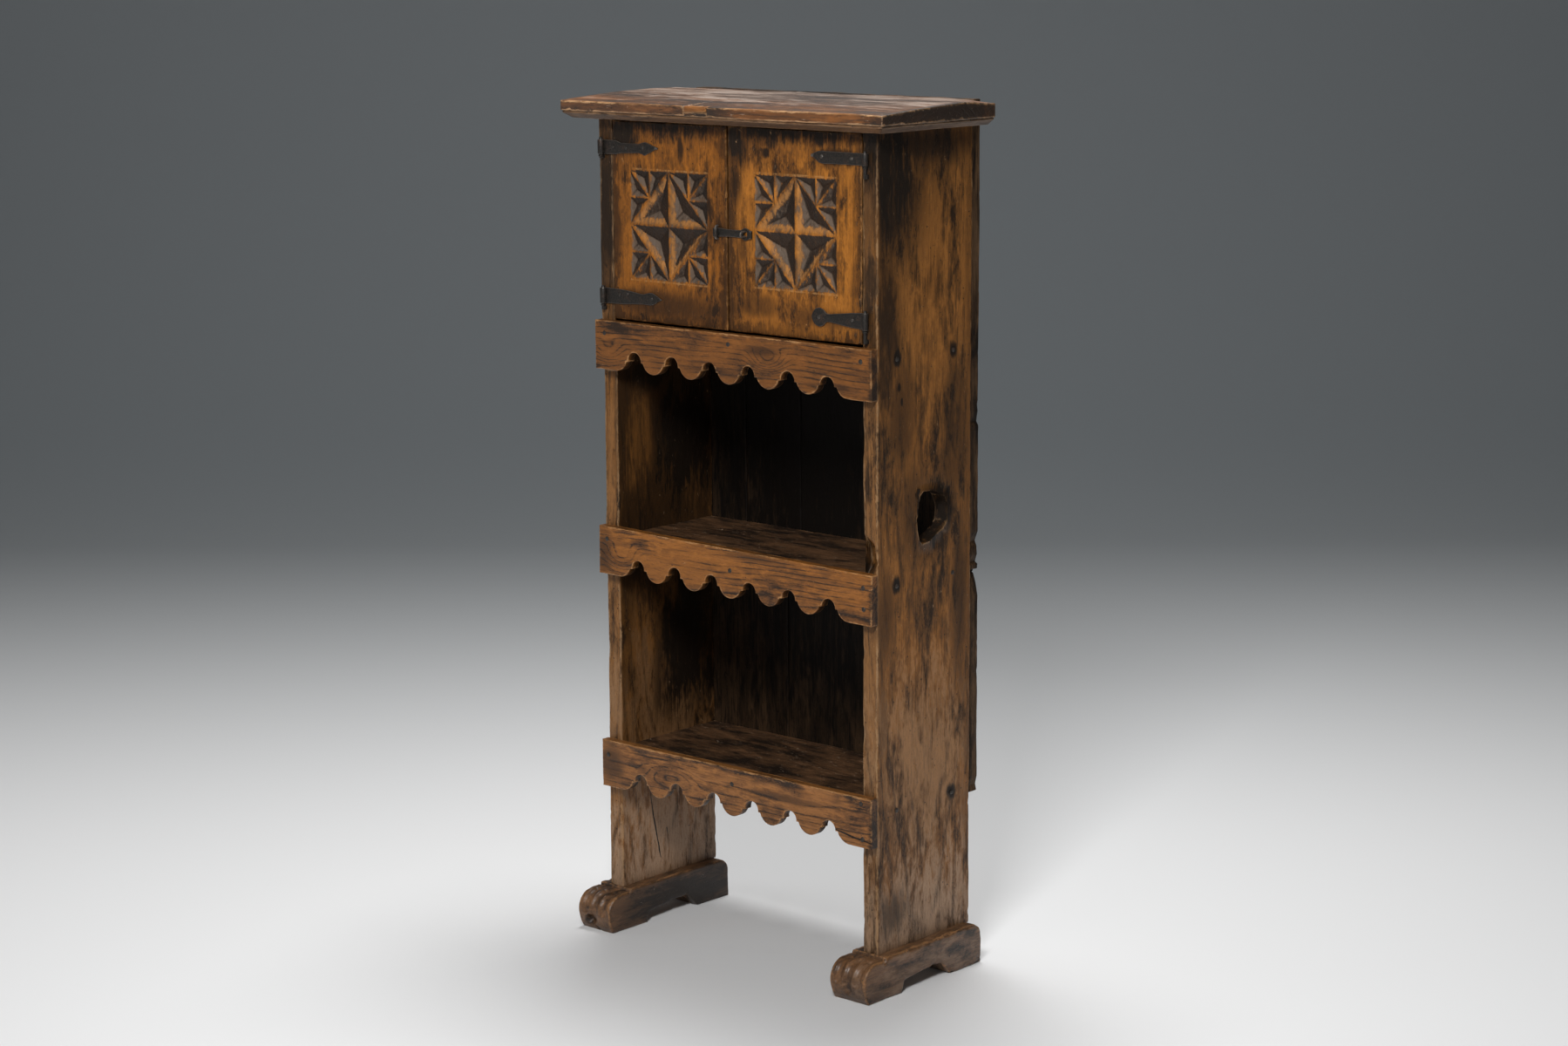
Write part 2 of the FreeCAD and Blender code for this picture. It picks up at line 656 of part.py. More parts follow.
# Aprons: boards with a row of round-topped arches between round-bottomed lobes
def apron(name, base, tilt="0"):
    half = "side_spread / 2"
    board = [(f"-{half}", "0"), (half, "0"), (half, "apron_height"), (f"-{half}", "apron_height")]
    body = padded(f"{name}_board", "XZ_Plane", board, "apron_thickness")
    middle = "-(arch_count - 1) / 2 * arch_pitch"
    lobe_half = "(arch_pitch / 2 - arch_half_width - quirk_width)"
    lobe_radius = f"({lobe_half} ^ 2 + quirk_height ^ 2) / (2 * quirk_height)"
    crown = "(arch_rise - quirk_height)"
    crown_radius = f"(arch_half_width ^ 2 + {crown} ^ 2) / (2 * {crown})"
    arch = [
        (f"{middle} - arch_pitch / 2", "-overrun"),
        (f"{middle} + arch_pitch / 2", "-overrun"),
        (f"{middle} + arch_pitch / 2", "0"),
        (f"{middle} + arch_half_width + quirk_width", "quirk_height", lobe_radius, "right"),
        (f"{middle} + arch_half_width", "quirk_height"),
        (middle, "arch_rise", crown_radius, "left"),
        (f"{middle} - arch_half_width", "quirk_height", crown_radius, "left"),
        (f"{middle} - arch_half_width - quirk_width", "quirk_height"),
        (f"{middle} - arch_pitch / 2", "0", lobe_radius, "right"),
    ]
    pocket = pocketed(body, "XZ_Plane", arch, "apron_thickness + 2 * overrun",
                      "apron_thickness + overrun")
    row = body.newObject("PartDesign::LinearPattern", f"{name}_arches")
    row.Originals = [pocket]
    row.Direction = (pocket.Profile[0], ["H_Axis"])
    bind(row, "Length", "(arch_count - 1) * arch_pitch")
    bind(row, "Occurrences", "arch_count")
    body.Tip = row
    body.Placement = FreeCAD.Placement(V(), FreeCAD.Rotation(V(0, 1, 0), amount(tilt)))
    if tilt != "0":
        bind(body, "Placement.Rotation.Angle", tilt)
    bind_place(body, ("0", FRONT, base))
    node(cut(name, body, apron_holes), name)


apron("upper_apron", UPPER_APRON_BASE)
apron("middle_apron", f"{MIDDLE_APRON_BASE} + middle_apron_lift / 2", MIDDLE_TILT)
apron("lower_apron", LOWER_APRON_BASE)


# Back: vertical boards in two tiers, the upper one running up behind the top
def back_tier(name, joints, bottom, top):
    last = len(joints) - 2
    for number, (left, right) in enumerate(zip(joints, joints[1:])):
        low = f"{OUTER} * {left}" + (" + back_gap / 2" if number else "")
        high = f"{OUTER} * {right}" + (" - back_gap / 2" if number < last else "")
        board = box(f"{name}_{number + 1}_board", (low, REAR, bottom),
                    (f"{high} - ({low})", "back_thickness", f"{top} - {bottom}"))
        node(cut(f"{name}_{number + 1}", board, back_holes), f"{name}_{number + 1}")


back_tier("upper_back_board", UPPER_JOINT_SHARES, BACK_JOINT, BACK_TOP)
back_tier("lower_back_board", LOWER_JOINT_SHARES, BACK_BOTTOM, f"({BACK_JOINT} - back_gap)")

# Top: the same worn section for both boards, which meet in a joint that runs front to back
section = [
    ("-top_front_overhang", "0"),
    ("side_depth", "0"),
    ("side_depth", "top_thickness"),
    ("top_flat_reach - top_front_overhang", "top_thickness"),
    ("top_shoulder_reach - top_front_overhang", "top_shoulder_thickness"),
    ("-top_front_overhang", "top_front_thickness"),
]
PATCH_PLACE = ("top_joint_offset", f"{FRONT} - top_front_overhang",
               "side_top_height + top_front_thickness - patch_height")
PATCH_SIZE = ("patch_length", "patch_depth", "patch_height")
TOP_HALF = "(side_spread / 2 + top_side_overhang)"
left_top = padded("top_left_section", "YZ_Plane", section, f"top_joint_offset + {TOP_HALF}")
bind_place(left_top, (f"-{TOP_HALF}", FRONT, "side_top_height"))
right_top = padded("top_right_section", "YZ_Plane", section, f"{TOP_HALF} - top_joint_offset")
bind_place(right_top, ("top_joint_offset", FRONT, "side_top_height"))
patch_room = box("patch_room",
                 (PATCH_PLACE[0], f"{PATCH_PLACE[1]} - overrun", PATCH_PLACE[2]),
                 ("patch_length", "patch_depth + overrun", "patch_height + overrun"))
node(cut("top_left", left_top, top_holes, back_holes), "top_board_left")
node(cut("top_right", right_top, top_holes, back_holes, patch_room), "top_board_right")
node(box("patch", PATCH_PLACE, PATCH_SIZE), "top_patch")

# Moulding: a fillet over a chamfer, mitred where the front strip meets the side strips
STRIP_BASE = "side_top_height - cornice_height"
CORNICE_HALF = "(side_spread / 2 + cornice_width)"
front_section = [
    ("0", "0"),
    ("0", "cornice_height"),
    ("-cornice_width", "cornice_height"),
    ("-cornice_width", "cornice_height - cornice_fillet"),
    ("cornice_inset - cornice_width", "0"),
]
front_strip = padded("cornice_front_strip", "YZ_Plane", front_section, f"2 * {CORNICE_HALF}",
                     f"-{CORNICE_HALF}")
for side in ("-", ""):
    order = 1 if side else -1
    corners = [(f"{side}(side_spread / 2)", "0"),
               (f"{side}({CORNICE_HALF} + overrun)", "0"),
               (f"{side}({CORNICE_HALF} + overrun)", "-cornice_width - overrun")]
    pocketed(front_strip, "XY_Plane", corners[::order], "cornice_height + 2 * overrun",
             "cornice_height + overrun")
bind_place(front_strip, ("0", FRONT, STRIP_BASE))
node(cut("cornice_front", front_strip, brad_holes), "cornice_front")
for name, side in (("cornice_left", "-"), ("cornice_right", "")):
    side_section = [(f"{side}{across}", up) for across, up in (
        ("side_spread / 2", "0"),
        (f"({CORNICE_HALF} - cornice_inset)", "0"),
        (CORNICE_HALF, "cornice_height - cornice_fillet"),
        (CORNICE_HALF, "cornice_height"),
        ("side_spread / 2", "cornice_height"))]
    strip = padded(f"{name}_strip", "XZ_Plane", side_section, "cornice_width + side_depth",
                   "-side_depth")
    corners = [(f"{side}(side_spread / 2 - overrun)", "overrun"),
               (f"{side}(side_spread / 2 - overrun)", "-cornice_width - overrun"),
               (f"{side}({CORNICE_HALF} + overrun)", "-cornice_width - overrun")]
    pocketed(strip, "XY_Plane", corners, "cornice_height + 2 * overrun", "cornice_height + overrun")
    bind_place(strip, ("0", FRONT, STRIP_BASE))
    node(cut(name, strip, brad_holes), name)

# Hasp: a bar with an end rolled round its staple, a ring with a slot and a curled thumb end
HASP_BACK = f"({HASP_DEPTH} + {HASP_EYE_RADIUS} - hasp_thickness)"
ring_start = "(catch_offset - hasp_ring_width / 2)"
ring_end = "(catch_offset + hasp_ring_width / 2)"
hasp_corners = [
    ("0", "-hasp_width / 2"),
    (ring_start, "-hasp_width / 2"),
    ("catch_offset", "-hasp_ring_height / 2"),
    (ring_end, "-hasp_width / 2"),
    ("hasp_length", "-hasp_width / 2"),
    ("hasp_length", "hasp_width / 2"),
    (ring_end, "hasp_width / 2"),
    ("catch_offset", "hasp_ring_height / 2"),
    (ring_start, "hasp_width / 2"),
    ("0", "hasp_width / 2"),
]
bar = padded("hasp_bar", "XZ_Plane", hasp_corners, "hasp_thickness", "-hasp_thickness")
bind_place(bar, (HASP_PIVOT, HASP_BACK, HASP_HEIGHT))
curl = rod("hasp_curl", (HASP_PIVOT, HASP_DEPTH, f"{HASP_HEIGHT} - hasp_curl_height / 2"),
           HASP_EYE_RADIUS, "hasp_curl_height")
thumb = rod("hasp_thumb", (f"{HASP_PIVOT} + hasp_length",
                           f"{HASP_BACK} + hasp_thickness - hasp_thumb_radius",
                           f"{HASP_HEIGHT} - hasp_width / 2"), "hasp_thumb_radius", "hasp_width")
hasp_bore = rod("hasp_bore", (HASP_PIVOT, HASP_DEPTH,
                              f"{HASP_HEIGHT} - hasp_curl_height / 2 - overrun"),
                "staple_radius + pin_clearance", "hasp_curl_height + 2 * overrun")
slot = box("hasp_slot", (f"{HASP_PIVOT} + catch_offset - hasp_slot_width / 2",
                         f"{HASP_BACK} - overrun", f"{HASP_HEIGHT} - hasp_slot_height / 2"),
           ("hasp_slot_width", "hasp_thickness + 2 * overrun", "hasp_slot_height"))
node(cut("hasp", join("hasp_blank", [bar, curl, thumb]), hasp_bore, slot), "hasp")


def staple(name, centre, depth, spread, radius):
    """Two legs driven into the door and an upright bar between their outer ends."""
    pieces, holes = [], []
    for side in ("-", ""):
        height = f"{HASP_HEIGHT} {side or '+'} {spread} / 2"
        length = f"{DOOR_FACE} + staple_leg - ({depth})"
        pieces.append(rod(f"{name}_leg{side and '_low'}", (centre, depth, height), radius, length,
                          INTO_BACK))
        pieces.append(ball(f"{name}_bend{side and '_low'}", (centre, depth, height), radius))
        holes.append(rod(f"{name}_hole{side and '_low'}", (centre, depth, height),
                         f"{radius} + nail_fit", length, INTO_BACK))
    pieces.append(rod(f"{name}_bar", (centre, depth, f"{HASP_HEIGHT} - {spread} / 2"), radius, spread))
    node(join(name, pieces), name)
    return holes


PIVOT_SPREAD = "(hasp_curl_height + 2 * (staple_radius + staple_side_gap))"
CATCH_CENTRE = f"({HASP_PIVOT} + catch_offset - catch_play)"
pivot_holes = staple("hasp_pivot_staple", HASP_PIVOT, HASP_DEPTH, PIVOT_SPREAD, "staple_radius")
catch_holes = staple("hasp_catch_staple", CATCH_CENTRE, f"{DOOR_FACE} - catch_reach", "catch_spread",
                     "catch_radius")


# Doors: one board each, with a field of three-sided chips between straight ridges
def chip(corners, centre, land, depth_per_radius):
    """A three-sided pit. It is set in from its ridges by half a land, deepest at its incentre."""
    lengths = [(corners[(k + 1) % 3] - corners[(k + 2) % 3]).Length for k in range(3)]
    around = sum(lengths)
    heart = V()
    for corner, length in zip(corners, lengths):
        heart += corner * (length / around)
    area = (corners[1] - corners[0]).cross(corners[2] - corners[0]).Length / 2
    radius = 2 * area / around
    shrink = (radius - land / 2) / radius
    depth = depth_per_radius * radius
    out = 1 + amount("overrun") / depth
    tip = heart + V(0, depth, 0)
    rim = [tip + (heart + (corner - heart) * shrink - tip) * out for corner in corners]
    faces = [Part.Face(Part.makePolygon(loop + loop[:1])) for loop in
             ([rim[0], rim[1], rim[2]], [rim[0], rim[1], tip], [rim[1], rim[2], tip],
              [rim[2], rim[0], tip])]
    solid = Part.makeSolid(Part.makeShell(faces))
    if solid.Volume < 0:
        solid.reverse()
    return solid


# One quarter of the field, as shares of its half width and half height: the inner triangle and the
# four that fan out from the middle of the diamond's edge
QUARTER_CHIP_SHARES = [
    [(0, 0), (0, 1), (1, 0)],
    [(0.5, 0.5), (0, 1), (0.5, 1)],
    [(0.5, 0.5), (0.5, 1), (1, 1)],
    [(0.5, 0.5), (1, 1), (1, 0.5)],
    [(0.5, 0.5), (1, 0.5), (1, 0)],
]


def carving(name, centre):
    """All the chips of one door's field."""
    half_width, half_height = amount("field_width / 2"), amount("field_height / 2")
    middle = point(centre)
    pits = []
    for across in (-1, 1):
        for up in (-1, 1):
            for shares in QUARTER_CHIP_SHARES:
                corners = [middle + V(across * x_share * half_width, 0, up * z_share * half_height)
                           for x_share, z_share in shares]
                pits.append((corners, middle))
    sides = [(corners[0] - corners[1]).Length + (corners[1] - corners[2]).Length
             + (corners[2] - corners[0]).Length for corners, _ in pits]
    areas = [(corners[1] - corners[0]).cross(corners[2] - corners[0]).Length / 2
             for corners, _ in pits]
    widest = max(2 * area / around for area, around in zip(areas, sides))
    steepness = amount("chip_depth") / widest
    made = doc.addObject("Part::Feature", name)
    made.Shape = Part.makeCompound([chip(corners, centre, amount("chip_land"), steepness)
                                    for corners, centre in pits])
    return made


def door(name, low, width, field_centre, field_height, holes):
    board = box(f"{name}_board", (low, DOOR_FACE, DOOR_BOTTOM),
                (width, "door_thickness", f"{DOOR_TOP} - {DOOR_BOTTOM}"))
    field = carving(f"{name}_carving", (field_centre, DOOR_FACE, field_height))
    node(cut(name, board, field, *holes), name)


DOOR_LEFT_EDGE = f"(door_side_gap - {INNER})"
DOOR_RIGHT_EDGE = f"({INNER} - door_side_gap)"
LEFT_FREE_EDGE = "(door_joint_offset - door_centre_gap / 2)"
RIGHT_FREE_EDGE = "(door_joint_offset + door_centre_gap / 2)"
door("left_door", DOOR_LEFT_EDGE, f"{LEFT_FREE_EDGE} - {DOOR_LEFT_EDGE}",
     f"{DOOR_LEFT_EDGE} + left_field_margin + field_width / 2", f"{DOOR_BOTTOM} + left_field_rise",
     [strap_nail_holes["left"], *pivot_holes])
door("right_door", RIGHT_FREE_EDGE, f"{DOOR_RIGHT_EDGE} - {RIGHT_FREE_EDGE}",
     f"{DOOR_RIGHT_EDGE} - right_field_margin - field_width / 2",
     f"{DOOR_BOTTOM} + right_field_rise",
     [strap_nail_holes["right"], *catch_holes])

doc.recompute()

for thing in doc.Objects:
    if "Invalid" in thing.State or "Error" in thing.State:
        raise RuntimeError(f"{thing.Label} did not build: {thing.State}")
for made in NODES:
    shape = made.Shape
    if shape.isNull() or not shape.isValid() or not shape.Solids:
        raise RuntimeError(f"{made.Label} has no sound solid")
    shape.exportStep(f"parts/{made.Label}.step")
print(len(NODES), "pieces written")
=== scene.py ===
import math

import bpy
import numpy as np
from mathutils.geometry import delaunay_2d_cdt
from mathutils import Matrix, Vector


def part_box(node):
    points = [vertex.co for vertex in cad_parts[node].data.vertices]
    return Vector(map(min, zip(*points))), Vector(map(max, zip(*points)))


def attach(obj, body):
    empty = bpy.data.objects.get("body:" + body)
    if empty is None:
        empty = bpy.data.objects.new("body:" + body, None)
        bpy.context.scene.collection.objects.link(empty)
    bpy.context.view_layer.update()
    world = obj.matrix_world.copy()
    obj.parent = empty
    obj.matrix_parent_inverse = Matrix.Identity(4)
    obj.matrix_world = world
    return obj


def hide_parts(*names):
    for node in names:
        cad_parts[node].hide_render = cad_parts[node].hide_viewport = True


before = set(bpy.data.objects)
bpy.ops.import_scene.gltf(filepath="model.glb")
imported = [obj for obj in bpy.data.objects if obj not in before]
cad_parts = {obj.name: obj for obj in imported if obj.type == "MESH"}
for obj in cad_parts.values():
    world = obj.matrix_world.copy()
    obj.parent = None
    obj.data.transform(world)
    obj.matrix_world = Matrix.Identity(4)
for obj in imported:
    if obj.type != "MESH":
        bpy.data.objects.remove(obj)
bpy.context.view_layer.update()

# The two sledge feet. Each is one beam of dark, wormed softwood that runs from front to back
# under a side board. Its toe is a rolled scroll with three gouged flutes, set off by a saw cut,
# and its underside is hollowed so that it stands on two pads.
mm = 0.001
lattice_primes = np.array([73856093, 19349663, 83492791], np.int64)
seed_prime = 7919
foldings = ((15, 735632791), (13, 461845907))
whole_key = 0xFFFFFFFF
low_half = 0xFFFF


def chance(places, cell, seed):
    """Smooth noise from -1 to 1. Every corner of a cubic lattice has a random number: its place and
    the seed multiplied by primes, with the product folded over and multiplied again. A place takes
    the blend of its cube's eight corners, eased along each edge as 3t^2 - 2t^3."""
    scaled = places / cell
    corner = np.floor(scaled).astype(np.int64)
    part = scaled - corner
    part = part * part * (3 - 2 * part)
    total = np.zeros(len(places))
    for step in np.ndindex(2, 2, 2):
        key = ((corner + step) @ lattice_primes + seed * seed_prime) & whole_key
        for shift, prime in foldings:
            key = ((key ^ (key >> shift)) * prime) & whole_key
        number = ((key ^ (key >> 16)) & low_half) / (low_half / 2) - 1
        total += number * np.prod(np.where(step, part, 1 - part), axis=1)
    return total


def rough(places, cell, seed, layers=3):
    """Noise in layers: each one has half the cell and half the strength of the one before."""
    return sum(chance(places, cell / 2 ** k, seed + k) / 2 ** k for k in range(layers)) / 1.5


def softened(loop, reach):
    """The outline with its sharp corners rounded. Where the sides turn by more than 25 degrees the
    corner becomes the curve (1-t)^2 start + 2t(1-t) corner + t^2 end, for t from 0 to 1."""
    back = np.roll(loop, 1, 0) - loop
    on = np.roll(loop, -1, 0) - loop
    back_length = np.linalg.norm(back, axis=1, keepdims=True)
    on_length = np.linalg.norm(on, axis=1, keepdims=True)
    turn = np.sum(-back * on, axis=1, keepdims=True) / (back_length * on_length)
    sharp = turn[:, 0] < math.cos(math.radians(25))
    start = loop + back / back_length * np.minimum(reach, 0.4 * back_length)
    end = loop + on / on_length * np.minimum(reach, 0.4 * on_length)
    t = np.linspace(0, 1, 5)[:, None, None]
    curve = ((1 - t) ** 2 * start + 2 * t * (1 - t) * loop + t ** 2 * end).transpose(1, 0, 2)
    curve[~sharp, 0] = loop[~sharp]
    kept = np.zeros(curve.shape[:2], bool)
    kept[:, 0] = True
    kept[sharp] = True
    return curve[kept], loop[sharp]


def walked(loop, step):
    """The outline with points added along its sides, no further apart than the step."""
    sides = np.roll(loop, -1, 0) - loop
    counts = np.maximum(1, np.ceil(np.linalg.norm(sides, axis=1) / step - 1e-9)).astype(int)
    which = np.repeat(np.arange(len(loop)), counts)
    share = (np.arange(len(which)) - np.repeat(np.cumsum(counts) - counts, counts)) / counts[which]
    return loop[which] + sides[which] * share[:, None]


def outward_of(loop):
    """At each point of an outline, the unit vector to the right of the way from the point before
    to the point after. The piece lies to the left."""
    way = np.roll(loop, -1, 0) - np.roll(loop, 1, 0)
    way /= np.linalg.norm(way, axis=1, keepdims=True)
    return np.stack([way[:, 1], -way[:, 0]], 1)


def inside(places, loops):
    """Whether each place is in the outline: a ray to its right crosses the sides an odd number of
    times."""
    crossings = np.zeros(len(places), int)
    for loop in loops:
        for first, last in zip(loop, np.roll(loop, -1, 0)):
            spans = (first[1] > places[:, 1]) != (last[1] > places[:, 1])
            rise = last[1] - first[1] or 1
            reach = first[0] + (places[:, 1] - first[1]) * (last[0] - first[0]) / rise
            crossings += spans & (reach > places[:, 0])
    return crossings % 2 == 1


def from_edge(places, loops):
    """How far each place is from the outline, and the outward direction of the nearest side."""
    nearest = np.full(len(places), np.inf)
    outward = np.zeros((len(places), 2))
    for loop in loops:
        for first, last in zip(loop, np.roll(loop, -1, 0)):
            side = last - first
            share = np.clip((places - first) @ side / (side @ side), 0, 1)
            away = np.linalg.norm(places - first - share[:, None] * side, axis=1)
            closer = away < nearest
            nearest[closer] = away[closer]
            outward[closer] = np.array([side[1], -side[0]]) / math.sqrt(side @ side)
    return nearest, outward


def meshed(name, places, faces, marks, finish):
    """An object at the origin with smooth faces and one number per point for each mark."""
    mesh = bpy.data.meshes.new(name)
    mesh.from_pydata(places.tolist(), [], faces)
    mesh.shade_smooth()
    for mark, amounts in marks.items():
        layer = mesh.attributes.new(mark, "FLOAT", "POINT")
        layer.data.foreach_set("value", np.asarray(amounts, np.float32))
    mesh.materials.append(finish)
    thing = bpy.data.objects.new(name, mesh)
    bpy.context.scene.collection.objects.link(thing)
    return thing


def dressed(thing, node, body):
    """Shows the thing in place of a node of the model, and moves it with the node's body."""
    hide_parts(node)
    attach(thing, body)


def face_net(rims, coarse, depths, cell, creases):
    """A board's face as a net of triangles: the rims, rows of points at the depths inside them,
    and a staggered lattice of the given cell over the rest. creases, where there are any, are
    (points, ties, clear): the ties join pairs of the points, and clear tells where the points
    take the place of all others. Returns the points, the triangles and the rims' sides."""
    rim = np.concatenate(rims)
    rim_outward = np.concatenate([outward_of(loop) for loop in rims])
    low, high = rim.min(0), rim.max(0)
    columns = np.arange(low[0] + cell / 3, high[0], cell)
    lines = np.arange(low[1] + cell / 3, high[1], cell)
    lattice = np.stack(np.meshgrid(columns, lines), -1)
    lattice[1::2, :, 0] += cell / 2
    lattice = lattice.reshape(-1, 2)
    rows = np.concatenate([rim - rim_outward * depth for depth in depths])
    limits = np.concatenate([np.repeat([depth * 0.9 for depth in depths], len(rim)),
                             np.full(len(lattice), depths[-1] + cell / 3)])
    extra = np.concatenate([rows, lattice])
    away, _ = from_edge(extra, coarse)
    extra = extra[(away > limits) & inside(extra, rims)]
    ties = []
    if creases is not None:
        crease_places, crease_ties, clear = creases
        extra = extra[~clear(extra)]
        first = len(rim) + len(extra)
        ties = [(a + first, b + first) for a, b in crease_ties]
        extra = np.concatenate([extra, crease_places])
    flat = np.concatenate([rim, extra])
    first = 0
    borders = []
    for loop in rims:
        order = np.arange(len(loop)) + first
        borders.append(np.stack([order, np.roll(order, -1)], 1))
        first += len(loop)
    border = np.concatenate(borders)
    net = delaunay_2d_cdt((flat / mm).tolist(), border.tolist() + ties, [], 0, 1e-5)
    flat = np.array([tuple(point) for point in net[0]]) * mm
    faces = np.array(net[2])
    return flat, faces[inside(flat[faces].mean(1), rims)], border


def slab(outlines, thickness, place, edge=1.5 * mm, corner=2 * mm, step=6 * mm, cell=14 * mm, seed=1,
         wear=1.0, sway=0.4 * mm, lift=None, creases=None, rows=5, hollow=None, wobble=0.5 * mm):
    """A worn board of any outline, as points, faces and marks. The middle of the board is the plane
    place = (origin, A, B), and an outline point (a, b) lies at origin + aA + bB. Each face lies at
    half the thickness, less the drop r - sqrt(r^2 - (r - d)^2) within r of the edge, where d is the
    distance to the edge and r a rounding that noise makes large where the edge is worn. lift raises
    the front face, hollow cuts into the edge's wall, sway wavers the edge, and wobble bends the
    whole board a little."""
    origin, across, up = (np.array(part, float) for part in place)
    normal = np.cross(across, up)

    def in_room(flat, height):
        return origin + flat[:, :1] * across + flat[:, 1:] * up + height[:, None] * normal

    far_away = np.full((1, 2), 1e3)
    rounded = [softened(np.array(loop, float), corner) for loop in outlines]
    coarse = [loop for loop, _ in rounded]
    tips = np.concatenate([tip for _, tip in rounded] + [far_away])
    rims = [walked(loop, step) for loop in coarse]
    rim = np.concatenate(rims)
    rim_outward = np.concatenate([outward_of(loop) for loop in rims])
    top_rounding = edge * 2.6
    depths = [top_rounding * share for share in (0.12, 0.35, 0.65, 1.0, 1.6)]
    flat, faces, border = face_net(rims, coarse, depths, cell, creases)

    # the two faces
    away, outward = from_edge(flat, coarse)
    away[:len(rim)] = 0
    outward[:len(rim)] = rim_outward
    sheets = []
    for side in (1, -1):
        height = np.full(len(flat), side * thickness / 2)
        if lift is not None and side == 1:
            height += lift(flat)
        room = in_room(flat, height)
        rounding = edge * (1 + 0.55 * wear * rough(room, 30 * mm, seed + 3))
        rounding += 1.3 * edge * wear * np.clip(3 * rough(room, 17 * mm, seed + 9) - 0.75, 0, 1)
        rounding = np.clip(rounding, 0.1 * mm, min(0.45 * thickness, top_rounding))
        near = np.clip(rounding - away, 0, None)
        drop = rounding - np.sqrt(np.maximum(rounding ** 2 - near ** 2, 0))
        sheets.append(height - side * drop)

    # the wall between them, in rows round the rim
    shares = (1 - np.cos(np.linspace(0, math.pi, rows + 2)[1:-1])) / 2
    count = len(flat)
    order = np.arange(len(rim))
    walls = [sheets[0][order] * (1 - share) + sheets[1][order] * share for share in shares]
    heights = np.concatenate(sheets + walls)
    flats = np.concatenate([flat, flat] + [rim] * rows)
    outwards = np.concatenate([outward, outward] + [rim_outward] * rows)
    aways = np.concatenate([away, away] + [np.zeros(len(rim))] * rows)
    if hollow is not None:
        cut = hollow(flats, heights) * np.exp(-(aways / (3 * mm)) ** 2)
        flats = flats - outwards * cut[:, None]
    room = in_room(flats, heights)
    sway_by = sway * rough(room, 45 * mm, seed + 20) * np.exp(-(aways / (12 * mm)) ** 2)
    flats = flats - outwards * sway_by[:, None]
    room = in_room(flats, heights)
    bend = np.stack([chance(room, 130 * mm, seed + 30 + k) for k in range(3)], 1)
    room = room + bend * wobble

    # each point's distance to the nearest edge or corner, and the faces, with the wall in strips
    tall = heights.max() - heights.min()
    tip_away = np.min([np.linalg.norm(rim - tip, axis=1) for tip in tips], axis=0)
    wall_aways = [np.minimum(np.minimum(share, 1 - share) * tall, tip_away) for share in shares]
    edge_mark = np.concatenate([away, away] + wall_aways)
    ladder = [order] + [2 * count + k * len(rim) + order for k in range(rows)] + [count + order]
    strips = []
    for upper, lower in zip(ladder, ladder[1:]):
        here, there = border[:, 0], border[:, 1]
        strips.append(np.stack([upper[here], lower[here], lower[there], upper[there]], 1))
    every = faces.tolist() + (faces[:, ::-1] + count).tolist() + np.concatenate(strips).tolist()
    return room, every, {"edge": edge_mark}


class Reading:
    """A number that varies over a surface. Python's own signs write the material's Math nodes."""

    def __init__(self, finish, socket):
        self.finish = finish
        self.socket = socket

    def worked(self, operation, *values):
        """The result of one Math node on the values."""
        node = self.finish.node("ShaderNodeMath", {"operation": operation}, dict(enumerate(values)))
        return Reading(self.finish, node.outputs[0])

    def __add__(self, other):
        return self.worked("ADD", self, other)

    def __sub__(self, other):
        return self.worked("SUBTRACT", self, other)

    def __rsub__(self, other):
        return self.worked("SUBTRACT", other, self)

    def __mul__(self, other):
        return self.worked("MULTIPLY", self, other)

    def __truediv__(self, other):
        return self.worked("DIVIDE", self, other)

    def __pow__(self, other):
        return self.worked("POWER", self, other)

    __radd__ = __add__
    __rmul__ = __mul__

    def larger(self, other):
        """The larger of the two at each place."""
        return self.worked("MAXIMUM", self, other)

    def over(self, low, high):
        """0 at the low value and 1 at the high one, eased between."""
        node = self.finish.node("ShaderNodeMapRange", {"interpolation_type": "SMOOTHSTEP"},
                                {"Value": self, "From Min": low, "From Max": high})
        return Reading(self.finish, node.outputs[0])


